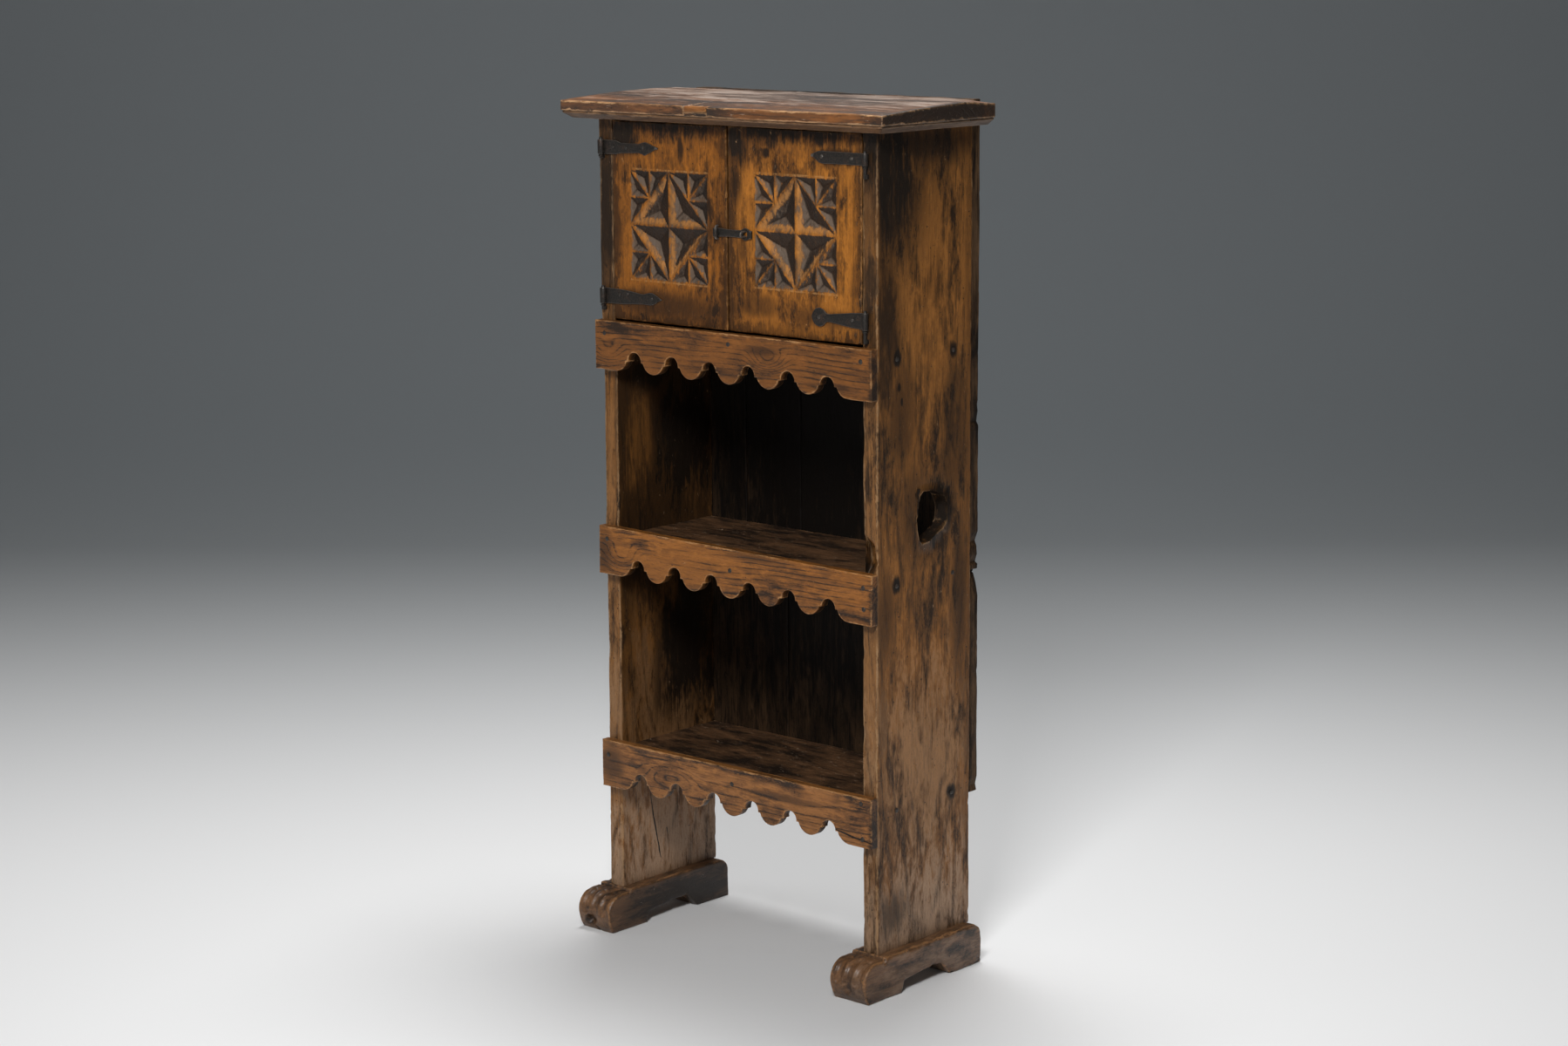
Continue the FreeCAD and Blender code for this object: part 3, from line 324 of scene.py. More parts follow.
class Finish:
    """The nodes of one material."""

    def __init__(self, name):
        self.material = bpy.data.materials.new(name)
        self.material.use_nodes = True
        self.tree = self.material.node_tree
        self.tree.nodes.clear()

    def node(self, kind, settings, sockets):
        """A node of any kind: its settings first, then the values or links of its sockets."""
        node = self.tree.nodes.new(kind)
        for setting, value in settings.items():
            setattr(node, setting, value)
        for name, value in sockets.items():
            if isinstance(value, Reading):
                value = value.socket
            if isinstance(value, bpy.types.NodeSocket):
                self.tree.links.new(value, node.inputs[name])
            else:
                node.inputs[name].default_value = value
        return node

    def place(self):
        """The point on the object, in metres."""
        return self.node("ShaderNodeTexCoord", {}, {}).outputs["Object"]

    def stretched(self, place, scale):
        """The place with each of its three numbers multiplied by its own scale."""
        return self.node("ShaderNodeVectorMath", {"operation": "MULTIPLY"},
                         {0: place, 1: scale}).outputs[0]

    def noise(self, place, detail=2.0, roughness=0.5, distortion=0.0, seed=0.0):
        """Soft noise from 0 to 1 over the place, with another pattern for every seed."""
        node = self.node("ShaderNodeTexNoise", {"noise_dimensions": "4D"},
                         {"Vector": place, "Scale": 1.0, "Detail": detail, "Roughness": roughness,
                          "Distortion": distortion, "W": seed})
        return Reading(self, node.outputs["Fac"])

    def mark(self, name):
        """A number that the mesh carries at each point."""
        return Reading(self, self.node("ShaderNodeAttribute", {"attribute_name": name},
                                       {}).outputs["Fac"])

    def mixed(self, share, first, second):
        """The first colour where the share is 0 and the second where it is 1."""
        node = self.node("ShaderNodeMix", {"data_type": "RGBA", "clamp_factor": True},
                         {0: share, 6: first, 7: second})
        return node.outputs[2]

    def surface(self, colour, roughness, height, metal=0.0, shine=0.5):
        """The closing shader: its colour, roughness, and a bump height in metres."""
        bump = self.node("ShaderNodeBump", {}, {"Height": height, "Strength": 1.0, "Distance": 1.0})
        shader = self.node("ShaderNodeBsdfPrincipled", {},
                           {"Base Color": colour, "Roughness": roughness, "Metallic": metal,
                            "Specular IOR Level": shine, "Normal": bump.outputs[0]})
        self.node("ShaderNodeOutputMaterial", {}, {"Surface": shader.outputs[0]})
        return self.material


def paint(red, green, blue):
    """A colour as it is seen on screen, from 0 to 255, turned into light."""
    seen = np.array([red, green, blue]) / 255
    light = np.where(seen <= 0.04045, seen / 12.92, ((seen + 0.055) / 1.055) ** 2.4)
    return (*light.tolist(), 1.0)


class Timber(Finish):
    """The nodes of an old wood, with the layers of noise that its patina, fibres and wear are made
    of. The layers are drawn out along the grain, which is the axis along, from 0 to 2. fine makes
    the largest patches smaller, and short makes all patches rounder."""

    def __init__(self, name, along, seed, fine, short):
        super().__init__(name)
        self.along = along
        self.spot = self.place()
        self.cloud = self.noise(self.drawn(15 * fine, 4.0 * fine * short), 4.0, 0.6, 0.6, seed)
        self.veil = self.noise(self.drawn(54, 10 * short), 4.0, 0.62, 0.5, seed + 3)
        self.blotch = self.noise(self.drawn(160, 40 * short), 3.0, 0.65, 0.4, seed + 4)
        self.streak = self.noise(self.drawn(330, 10), 3.0, 0.65, 0.0, seed + 5)
        self.fibre = self.noise(self.drawn(1500, 60), 2.0, 0.6, 0.0, seed + 7)
        self.speckle = self.noise(self.drawn(640, 180), 3.0, 0.75, 0.0, seed + 9)
        self.edge = self.mark("edge")

    def drawn(self, cross, length):
        """The place, for noise with so many patches a metre across the grain and along it."""
        scale = [cross] * 3
        scale[self.along] = length
        return self.stretched(self.spot, scale)

    def away_from(self, centre, reach):
        """How far the place is from the centre, with each axis divided by its reach."""
        offset = self.node("ShaderNodeVectorMath", {"operation": "SUBTRACT"},
                           {0: self.spot, 1: centre})
        scaled = self.stretched(offset.outputs[0], [1 / length for length in reach])
        away = self.node("ShaderNodeVectorMath", {"operation": "LENGTH"}, {0: scaled})
        return Reading(self, away.outputs[1])

    def frayed(self, **strengths):
        """The sum of the named layers, where each one's swing about its middle is multiplied by
        its strength."""
        parts = [(getattr(self, layer) - 0.5) * strength for layer, strength in strengths.items()]
        return sum(parts[1:], parts[0])


def soiled_and_painted_light(wood, patina, border, stains):
    """How brown and how black smoke, wax and hands have made the wood, as two shares, with painted
    shade and painted light among the stains, as noted where they are listed. patina is how much of
    it they cover, border how strongly they follow its edges, and each of the stains is (centre,
    reach, strength): dark, or lighter where the strength is below 0."""
    shade = wood.cloud * 0.49 + wood.veil * 0.36 + wood.blotch * 0.15
    middle = 0.60 - 0.2 * patina
    brown = (shade + wood.frayed(streak=0.12)).over(middle - 0.06, middle + 0.06)
    black = (shade + wood.frayed(speckle=0.16)).over(middle + 0.025, middle + 0.10)
    if border:
        band = (1 - (wood.edge + wood.frayed(veil=0.12, blotch=0.04)).over(0.0, 0.03)) * border
        brown = brown.larger(band)
        black = black.larger(band * 1.6 - 0.7)
    for centre, reach, strength in stains:
        ragged = wood.frayed(veil=1.6, blotch=0.7, streak=0.9)
        near = 1 - (wood.away_from(centre, reach) + ragged).over(0.3, 1.2)
        if strength > 0:
            brown = brown.larger(near * strength)
            black = black.larger((near * 1.8 - 0.6) * strength)
        else:
            brown = brown * (1 + near * strength)
            black = black * (1 + near * strength)
    return brown, black


def ring_lines(wood, pith, spacing, knots, seed):
    """The dark lines between the growth rings, as a share. A ring's number is the distance from the
    pith over the spacing, and each of the knots, (centre, reach, rings), adds its own rings near
    its centre. The line is the seventh power of (sin(2 pi number) + 1) / 2."""
    bent = wood.noise(wood.drawn(16, 3.4), 3.0, 0.5, 0.0, seed + 11) * 0.020
    reach = [1.0] * 3
    reach[wood.along] = 11.0
    number = (wood.away_from(pith, reach) + bent) / spacing
    for centre, knot_reach, more in knots:
        number = number + (1 - wood.away_from(centre, knot_reach).over(0.0, 1.0)) * more
    turns = number * (2 * math.pi)
    wave = turns.worked("SINE", turns) * 0.5 + 0.5
    return (wave ** 7) * (wood.speckle * 0.7 + wood.streak * 0.9).over(0.60, 0.86) \
        * (wood.veil + wood.cloud).over(0.80, 1.04)


def worm_holes(wood, amount):
    """Round holes in some of the cells of a random lattice, in the cloudier parts, as a share."""
    cells = wood.node("ShaderNodeTexVoronoi", {"feature": "F1"},
                      {"Vector": wood.stretched(wood.spot, [85, 85, 85]), "Scale": 1.0,
                       "Randomness": 1.0})
    chosen = wood.node("ShaderNodeSeparateColor", {}, {0: cells.outputs["Color"]})
    some = Reading(wood, chosen.outputs[0]).over(1 - amount, 1 - amount + 0.02)
    wide = Reading(wood, chosen.outputs[1]) * 0.05
    hole = 1 - (Reading(wood, cells.outputs["Distance"]) - wide).over(0.05, 0.09)
    return hole * some * wood.veil.over(0.44, 0.52)


def crack(wood, start, end, width):
    """A split that wanders along the line from the start to the end, as a share. The place's nearest
    point on the line is start + t (end - start), with t held between 0 and 1."""
    line = Vector(end) - Vector(start)
    offset = wood.node("ShaderNodeVectorMath", {"operation": "SUBTRACT"}, {0: wood.spot, 1: start})
    share = wood.node("ShaderNodeVectorMath", {"operation": "DOT_PRODUCT"},
                      {0: offset.outputs[0], 1: line / line.length_squared})
    share = Reading(wood, share.outputs[1])
    share = share.worked("MINIMUM", share, 1.0).larger(0.0)
    step = wood.node("ShaderNodeVectorMath", {"operation": "SCALE"}, {0: line, "Scale": share})
    gap = wood.node("ShaderNodeVectorMath", {"operation": "DISTANCE"},
                    {0: offset.outputs[0], 1: step.outputs[0]})
    away = Reading(wood, gap.outputs[1]) + wood.frayed(veil=6 * mm, streak=2 * mm)
    return 1 - away.worked("ABSOLUTE", away).over(width * 0.3, width)


def old_wood(name, along, light, brown, dark, seed, patina=0.5, border=0.0, stains=(), pale_places=(),
             streaks=0.3, rings=None, knots=(), flecks=0.6, holes=0.5, worn=0.7,
             worn_tone=(170, 124, 76), scuffs=0.3, scuff_tone=None, carving=None, cracks=(),
             matt=0.42, shine=0.3, fine=1.0, short=1.0):
    """Waxed old wood. The light colour has brown streaks along the grain, and the patina turns it
    brown and then dark. The pale places are (centre, reach, strength) and sometimes their own
    colour: low on the sides and feet they are painted light bounced up off the floor, and over the
    top painted sheen. rings are (pith, spacing, strength). flecks, holes, worn and scuffs are how
    strong the dark dashes, the worm holes, the pale wear along the edges and the pale scratches are.
    carving is a function that colours a carved field on top of them. matt is the wax's roughness,
    and shine is how strongly it reflects."""
    wood = Timber(name, along, seed, fine, short)
    colour = wood.mixed(wood.streak.over(0.40, 0.62) * streaks, paint(*light), paint(*brown))
    glow = [min(255, 1.16 * tone + 4) for tone in light]
    glowing = (wood.blotch * 0.4 + wood.veil * 0.6).over(0.52, 0.39)
    colour = wood.mixed(glowing * 0.55, colour, paint(*glow))
    grey = [0.62 * tone + 0.38 * sum(light) / 3 + 14 for tone in light]
    # pale places, some of them painted light and painted sheen
    for centre, reach, strength, *tone in pale_places:
        ragged = wood.frayed(veil=2.2, blotch=1.4)
        near = 1 - (wood.away_from(centre, reach) + ragged).over(0.4, 1.1)
        colour = wood.mixed(near * strength, colour, paint(*(tone or grey)))
    browned, blackened = soiled_and_painted_light(wood, patina, border, stains)
    colour = wood.mixed(browned * 0.85, colour, paint(*brown))
    colour = wood.mixed(blackened * 0.9, colour, paint(*dark))
    height = wood.frayed(fibre=0.10 * mm, streak=0.30 * mm, veil=0.9 * mm, blotch=0.35 * mm)

    if rings:
        pith, spacing, strength = rings
        late = ring_lines(wood, pith, spacing, knots, seed)
        colour = wood.mixed(late * strength, colour, paint(*dark))
        height = height - late * (0.25 * mm)
    for centre, reach, _ in knots:
        core_reach = [length * 0.17 for length in reach]
        core = 1 - (wood.away_from(centre, core_reach) + wood.frayed(blotch=1.2)).over(0.6, 1.1)
        colour = wood.mixed(core * 0.85, colour, paint(*dark))
        height = height - core * (0.4 * mm)
    dashes = wood.speckle.over(0.585, 0.67) * flecks
    colour = wood.mixed(wood.fibre.over(0.46, 0.60) * 0.22, colour, paint(*dark))
    colour = wood.mixed(dashes * 0.85, colour, paint(*dark))
    height = height - dashes * (0.12 * mm)
    hole = worm_holes(wood, holes)
    colour = wood.mixed(hole * 0.92, colour, paint(18, 12, 8))
    height = height - hole * (0.9 * mm)

    rubbed = 1 - (wood.edge + wood.frayed(blotch=11 * mm, speckle=5 * mm)).over(0.0, 2.4 * mm)
    rubbed = rubbed * (0.25 + 0.75 * wood.veil.over(0.42, 0.56)) * (1 - blackened * 0.6)
    colour = wood.mixed(rubbed * worn, colour, paint(*worn_tone))
    scuff_start = 0.69 - 0.08 * scuffs
    scuff = wood.noise(wood.drawn(240 / short, 60), 4.0, 0.8, 1.0, seed + 17)
    scuff = scuff.over(scuff_start, scuff_start + 0.08)
    pale = scuff_tone or [min(255, 40 + 0.95 * tone) for tone in worn_tone]
    colour = wood.mixed(scuff * 0.8, colour, paint(*pale))
    roughness = matt + blackened * 0.08 + wood.frayed(speckle=0.3, blotch=0.25) + scuff * 0.15
    if carving:
        colour, height = carving(wood, colour, height)
    for start, end, width in cracks:
        split = crack(wood, start, end, width)
        colour = wood.mixed(split, colour, paint(14, 10, 8))
        height = height - split * (1.2 * mm)
    return wood.surface(colour, roughness, height, shine=shine)


def joined(parts):
    """Several closed skins, each as points, faces and marks, made into one."""
    places, faces, marks = parts[0]
    for more_places, more_faces, more_marks in parts[1:]:
        faces = faces + [[corner + len(places) for corner in face] for face in more_faces]
        places = np.concatenate([places, more_places])
        marks = {name: np.concatenate([marks[name], more_marks[name]]) for name in marks}
    return places, faces, marks


def board(node, body, outlines, thickness, place, finish, slot, also=(), **shape):
    """A slab that stands for one piece of the model, with any further parts joined to it."""
    skin = joined([slab(outlines, thickness, place, **shape), *also])
    dressed(meshed(node + "_worn", *skin, finish), node, body)


def rectangle(low_a, low_b, high_a, high_b):
    """The corners of a rectangle, turning to the left."""
    return [(low_a, low_b), (high_a, low_b), (high_a, high_b), (low_a, high_b)]


def arc(centre, radius, start, end, count):
    """Points on a circle between two angles in degrees."""
    angles = np.radians(np.linspace(start, end, count))
    return [(centre[0] + radius * math.cos(a), centre[1] + radius * math.sin(a)) for a in angles]


side_low, side_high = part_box("right_side")
front = side_low.y
rear = side_high.y
outer = side_high.x
inner = side_low.x
side_thickness = outer - inner
side_middle = (outer + inner) / 2

foot_low, foot_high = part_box("right_foot")
foot_width = foot_high.x - foot_low.x
roll_radius = 32 * mm
roll_top = foot_high.z - 4 * mm
roll_centre = (foot_low.y + roll_radius, roll_top - roll_radius)
flute_spacing = 20 * mm
flute_half_width = 7.6 * mm
flute_depth = 4.0 * mm
# where the flutes start, where each of the three ends, and how far they fade out there, all in
# degrees round the roll
flute_start = 84
flute_ends = {-1: 188, 0: 214, 1: 188}
start_fade = 8
end_fade = 9
toe_pad_start = foot_low.y + 11 * mm
toe_pad_end = front + 36 * mm
heel_pad_start = front + 163 * mm
heel_radius = 22 * mm
heel_height = 47 * mm
hollow_start = front + 43 * mm
hollow_length = 95 * mm
hollow_low = 18 * mm
hollow_rise = 7 * mm
hollow_bulge = 9 * mm
saw_cut = [(front - 3 * mm, foot_high.z), (front - 5.2 * mm, foot_high.z - 8 * mm),
           (front - 8 * mm, roll_top)]
# the left foot's rotted knot and the slit below it: their middles across the foot and up, their
# half widths and half heights, and their depths
knot_across = -11 * mm
knot_up = 17 * mm
knot_half_width = 11 * mm
knot_half_height = 10 * mm
knot_depth = 13 * mm
slit_across = -2 * mm
slit_up = 8 * mm
slit_half_width = 3.5 * mm
slit_half_height = 9 * mm
slit_depth = 4 * mm
slit_lean = 0.9


def foot_outline():
    """The foot seen from the right: pads, hollow, rounded heel, saw cut and rolled toe. At a share
    s of its length the hollow is low + rise s + bulge s (1 - s) high."""
    shares = np.linspace(0.1, 1, 8)
    heights = hollow_low + hollow_rise * shares + hollow_bulge * shares * (1 - shares)
    heel_middle = (foot_high.y - heel_radius, heel_height)
    outline = [(toe_pad_start, 0), (toe_pad_end, 0), (hollow_start, hollow_low)]
    outline += list(zip(hollow_start + hollow_length * shares, heights))
    outline += [(heel_pad_start, 0), (foot_high.y, 0), (foot_high.y, heel_height)]
    outline += arc(heel_middle, heel_radius, 12, 90, 7)
    outline += saw_cut
    outline += arc(roll_centre, roll_radius, flute_start, 190, 22)
    outline += [(foot_low.y + 2.2 * mm, 20 * mm), (foot_low.y + 5.6 * mm, 9 * mm)]
    return outline


def foot_cut(flats, heights):
    """Depth of the flutes: a circular hollow across each one, faded out at a rounded thumbnail end
    where the angle round the roll passes its last value."""
    angle = np.degrees(np.arctan2(flats[:, 1] - roll_centre[1], flats[:, 0] - roll_centre[0])) % 360
    depth = np.zeros(len(flats))
    for number, last in flute_ends.items():
        across = (heights - number * flute_spacing) / flute_half_width
        past = np.clip((angle - last + end_fade) / end_fade, 0, None)
        before = np.clip((flute_start + start_fade / 2 - angle) / start_fade, 0, None)
        bowl = 1 - across ** 2 - np.maximum(past, before) ** 2
        on_roll = (flats[:, 0] < saw_cut[-1][0] - 0.5 * mm) & (angle > 70)
        depth = np.maximum(depth, np.where(on_roll, flute_depth * np.sqrt(np.clip(bowl, 0, 1)), 0))
    return depth


def knot_cut(flats, heights):
    """The left foot's flutes and, low on its toe, a rotted knot: a ragged bowl with a slanting slit
    below it. Each is its depth times a limit less (across / half width)^2 + (up / half height)^2."""
    places = np.stack([flats[:, 0], flats[:, 1], heights], 1)
    ragged = 1 + 0.35 * rough(places, 9 * mm, 71)
    on_toe = flats[:, 0] < front - 30 * mm
    up = flats[:, 1]
    bowl = ((heights - knot_across) / knot_half_width) ** 2 + ((up - knot_up) / knot_half_height) ** 2
    slanting = heights - slit_across + (up - 10 * mm) * slit_lean
    slit = (slanting / slit_half_width) ** 2 + ((up - slit_up) / slit_half_height) ** 2
    rot = knot_depth * np.clip(1.2 - bowl * ragged, 0, 1)
    rot = rot + slit_depth * np.clip(1.1 - slit * ragged, 0, 1)
    return np.maximum(foot_cut(flats, heights), np.where(on_toe, rot, 0))


for foot, sign, cut, pale in (("left_foot", -1, knot_cut, 0.3), ("right_foot", 1, foot_cut, 0.7)):
    foot_wood = old_wood(
        foot + "_wood", 1, (122, 86, 56), (82, 60, 43), (33, 26, 21), 31 + sign,
        patina=0.54, streaks=0.5, worn=0.7, worn_tone=(160, 116, 76), holes=0.9, scuffs=0.5,
        flecks=0.9, matt=0.34, shine=0.4, fine=1.8, short=1.6, scuff_tone=(180, 164, 148),
        # Stains, in turn: darker low on the toe; darker on the left foot's inner face; a lighter patch
        # over the roll, painted highlight on the flutes; and the left foot's rotted knot, partly painted
        # shade in its hollow. The pale scuff tone is partly painted highlight on the flutes, and the pale
        # patch low on each outer face is painted light bounced up off the floor.
        stains=[((sign * side_middle, roll_centre[0], 8 * mm), (60 * mm, 40 * mm, 16 * mm), 0.6),
                ((foot_width / 2 - side_middle, 0.03, 30 * mm), (0.014, 0.22, 0.06), 0.9),
                ((sign * side_middle, roll_centre[0], 50 * mm), (60 * mm, 26 * mm, 20 * mm), -0.5),
                ((-297 * mm, foot_low.y + 5 * mm, 16 * mm), (15 * mm, 12 * mm, 13 * mm), 1.0)],
        pale_places=[((sign * outer, 0, 20 * mm), (0.04, 0.2, 0.05), pale)])
    board(foot, "carcass", [foot_outline()], foot_width,
          ((sign * side_middle, 0, 0), (0, 1, 0), (0, 0, 1)), foot_wood, "foot_wood",
          edge=3.0 * mm, corner=1.6 * mm, step=2.2 * mm, cell=9 * mm, rows=58, seed=40 + sign,
          hollow=cut, sway=0.9 * mm, wear=1.2)

# The two side boards, each a plank of walnut-brown softwood. A tenon at its foot goes down into the
# sledge foot. The right board has a hand hole with a ragged edge and, beside the middle shelf, a
# broken notch; the left board's front edge is worn back below the upper apron.
# the rim of the hand hole: back from the board's front edge, and up, in millimetres
hole_outline = [(115.7, 811), (140, 808.5), (157, 804), (170, 796), (177.4, 782), (178.2, 768),
                (176.5, 755), (166, 745), (150, 737), (131, 729), (113.8, 725), (106, 735),
                (102.3, 750), (102, 770), (104.5, 790), (108, 803)]
hole = [(front + y * mm, z * mm) for y, z in hole_outline][::-1]
hole_middle = (front + 140 * mm, 770 * mm)
tenon_low = side_low.z
tenon_half_length = 75 * mm
tenon_thickness = 14 * mm
apron_line = 970 * mm
side_bottom = foot_high.z - 3 * mm
side_centre = (front + rear) / 2
# broken places of the right board's front edge: height, reach up and down, depth, and reach
# from the inner face, in millimetres
nicks = ((717, 36, 20, 27), (770, 50, 3, 9), (560, 9, 2, 8), (905, 24, 2.5, 9), (430, 14, 2, 7),
         (300, 20, 2, 8))


def left_profile():
    """The left board's outline, with its front edge worn back between the aprons."""
    worn = [(0.0, 700), (2.5, 735), (3.2, 800), (2.8, 880), (3.8, 930), (4.2, 966)]
    ragged = [(2.0, 340), (3.0, 380), (2.4, 450), (3.6, 520), (2.6, 580), (1.5, 640)]
    outline = [(front, side_bottom), (rear, side_bottom), (rear, side_high.z)]
    outline += [(front, side_high.z), (front, apron_line)]
    outline += [(front + back * mm, height * mm) for back, height in worn[::-1] + ragged[::-1]]
    return outline


def notch_cut(flats, heights):
    """A broken chip out of the inner front corner beside the middle apron, nicks further up and
    down that corner, and the bitten rim of the hand hole."""
    places = np.stack([flats[:, 0], flats[:, 1], heights], 1)
    ragged = 1 + 0.5 * rough(places, 12 * mm, 81)
    at_front = flats[:, 0] < front + 20 * mm
    cut = np.zeros(len(flats))
    for middle, reach, depth, from_inside in nicks:
        tall = ((flats[:, 1] - middle * mm) / (reach * mm)) ** 2
        deep = ((heights + side_thickness / 2) / (from_inside * mm)) ** 2
        cut = np.maximum(cut, depth * mm * np.clip(1.15 - (tall + deep) * ragged, 0, 1))
    hole_way = np.hypot(flats[:, 0] - hole_middle[0], flats[:, 1] - hole_middle[1])
    bitten = (1.2 * rough(places, 16 * mm, 83) - 0.5 + 0.9 * rough(places, 6 * mm, 84)) * mm
    return np.where(at_front, cut, np.where(hole_way < 60 * mm, bitten, 0))


# dark places of the sides, or lighter ones below 0: the middle, the reach along each axis, and how
# strong they are. The dark ones on the inner faces are partly painted shade in the compartments and
# under the shelves, the band on the right board just under the moulding is partly painted shadow,
# and the lighter ones low down are partly painted light bounced up off the floor.
right_stains = [
    ((inner, side_centre, 0.98), (0.010, 0.50, 0.80), 0.75),
    ((side_middle, front, 0.50), (0.05, 0.007, 0.62), -0.7),
    ((side_middle, side_centre, 0.12), (0.05, 0.30, 0.14), -0.6),
    ((side_middle, front, 1.32), (0.05, 0.19, 0.20), 1.0),
    ((side_middle, front, 1.20), (0.05, 0.008, 0.17), -0.55),
    ((side_middle, front + 0.02, 1.08), (0.05, 0.05, 0.20), 0.8),
    ((side_middle, front + 0.10, 1.36), (0.05, 0.20, 0.05), 0.75),
    ((side_middle, front + 0.06, 0.94), (0.05, 0.045, 0.12), 0.55),
    ((side_middle, front + 0.19, 0.90), (0.05, 0.05, 0.16), 0.5),
    ((side_middle, front + 0.13, 1.15), (0.05, 0.05, 0.20), -0.6),
    ((side_middle, front + 0.15, 0.97), (0.05, 0.03, 0.10), -0.5),
    ((side_middle, front + 0.09, 0.78), (0.05, 0.05, 0.12), 0.45),
    ((side_middle, front + 0.21, 0.62), (0.05, 0.03, 0.20), 0.6),
    ((side_middle, front + 0.02, 0.62), (0.05, 0.03, 0.10), 0.5),
    ((side_middle, front + 0.12, 0.40), (0.05, 0.08, 0.16), -0.7),
    ((side_middle, front + 0.17, 0.20), (0.05, 0.05, 0.10), -0.7),
    ((side_middle, front + 0.04, 0.13), (0.05, 0.05, 0.05), 0.6),
    ((side_middle, *hole_middle), (0.028, 0.078, 0.088), 1.5),
    ((outer, hole_middle[0] - 0.02, 0.79), (0.01, 0.04, 0.045), 0.7),
    ((inner, front, 0.705), (0.034, 0.030, 0.028), 1.0),
    ((outer, -0.0522, 1.031), (0.02, 0.018, 0.020), 1.0),
    ((outer, -0.0522, 0.668), (0.02, 0.014, 0.018), 1.0),
    ((outer, 0.0894, 0.300), (0.02, 0.015, 0.018), 1.0),
    ((outer, 0.0894, 1.031), (0.02, 0.013, 0.018), 0.9),
    ((outer, -0.046, 0.985), (0.02, 0.005, 0.010), 1.0),
    ((outer, -0.040, 0.962), (0.02, 0.004, 0.010), 1.0),
    ((outer, 0.005, 0.812), (0.02, 0.006, 0.008), 1.0),
    ((outer, 0.078, 0.805), (0.02, 0.006, 0.010), 1.0),
    ((inner, front + 0.17, 0.83), (0.014, 0.15, 0.19), 0.9),
    ((inner, front + 0.17, 0.47), (0.014, 0.15, 0.19), 0.9)]
left_stains = [
    ((-inner, side_centre, 0.98), (0.010, 0.50, 0.80), 0.75),
    ((-side_middle, front, 0.50), (0.05, 0.007, 0.62), -0.7),
    ((-inner, front + 0.17, 0.84), (0.014, 0.145, 0.20), 0.97),
    ((-inner, front + 0.17, 0.48), (0.014, 0.140, 0.20), 0.95),
    ((-inner, front + 0.08, 0.95), (0.014, 0.10, 0.05), 0.9),
    ((-inner, front + 0.05, 0.62), (0.014, 0.06, 0.04), 0.8),
    ((-inner, front + 0.055, 0.84), (0.014, 0.035, 0.09), -0.5),
    ((-inner, front + 0.060, 0.49), (0.014, 0.040, 0.12), -0.45),
    ((-inner, front + 0.10, 0.17), (0.05, 0.25, 0.16), -0.75),
    ((-side_middle, front, 1.25), (0.05, 0.02, 0.22), 0.85)]
left_cracks = [((-inner, front + 0.062, 0.262), (-inner, front + 0.078, 0.175), 1.5 * mm),
               ((-inner, front + 0.078, 0.175), (-inner, front + 0.094, 0.100), 1.7 * mm),
               ((-inner, front + 0.110, 0.150), (-inner, front + 0.116, 0.112), 1.0 * mm)]
side_shape = dict(edge=1.5 * mm, corner=1.0 * mm, step=5 * mm, cell=13 * mm, rows=7, sway=0.6 * mm,
                  wobble=0.6 * mm, wear=1.3)
tenons = {sign: slab([rectangle(-tenon_half_length, tenon_low, tenon_half_length, foot_high.z)],
                     tenon_thickness, ((sign * side_middle, side_centre, 0), (0, 1, 0), (0, 0, 1)),
                     edge=0.8 * mm, cell=30 * mm, step=20 * mm, rows=1, sway=0, wobble=0)
          for sign in (-1, 1)}
for side, sign, profile, cut, stains, cracks in (
        ("left_side", -1, [left_profile()], None, left_stains, left_cracks),
        ("right_side", 1, [rectangle(front, side_bottom, rear, side_high.z), hole],
         notch_cut, right_stains, ())):
    side_wood = old_wood(
        side + "_wood", 2, (150, 98, 46), (88, 59, 31), (28, 20, 13), 50 + 3 * sign,
        patina=0.54, streaks=0.5, worn=0.8, worn_tone=(158, 124, 88), holes=0.7, scuffs=0.6,
        flecks=0.9, shine=0.22, short=1.4, border=0.6,
        # The two pale patches low on each board, palest at the foot, are painted light bounced up off the
        # floor.
        pale_places=[((sign * side_middle, side_centre, 0.06), (0.05, 0.25, 0.20), 1.0, 170, 138, 110),
                  ((sign * side_middle, side_centre, 0.36), (0.05, 0.16, 0.20), 0.6, 160, 124, 90),
                  ((sign * side_middle, front, 0.50), (0.05, 0.006, 1.00), 0.3),
                  ((outer, hole_middle[0] + 0.028, 0.742), (0.02, 0.018, 0.014), 1.3)],
        matt=0.42, rings=((sign * (side_middle + 0.10), 0.02, 1.9), 0.012, 0.5),
        stains=stains, cracks=cracks)
    board(side, "carcass", profile, side_thickness,
          ((sign * side_middle, 0, 0), (0, 1, 0), (0, 0, 1)), side_wood, "side_wood",
          also=[tenons[sign]], seed=50 + sign, hollow=cut, **side_shape)

# The cupboard's floor and the two open shelves: softwood boards housed in the sides and nailed at
# their ends. They are dark, with scratches and pale flecks where things have been set down.
shelf_wood = old_wood(
    "shelf_boards", 0, (104, 74, 50), (66, 48, 34), (30, 23, 18), 61, patina=0.58, streaks=0.5,
    worn=0.6, worn_tone=(150, 122, 96), holes=0.3, scuffs=1.1, matt=0.36, short=1.5)
for number, shelf in enumerate(("cupboard_floor", "middle_shelf", "lower_shelf")):
    low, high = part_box(shelf)
    board(shelf, "carcass", [rectangle(low.x, low.y, high.x, high.y)], high.z - low.z,
          ((0, 0, (low.z + high.z) / 2), (1, 0, 0), (0, 1, 0)), shelf_wood, "shelf_wood",
          edge=1.8 * mm, corner=1 * mm, seed=60 + number, wear=1.1)

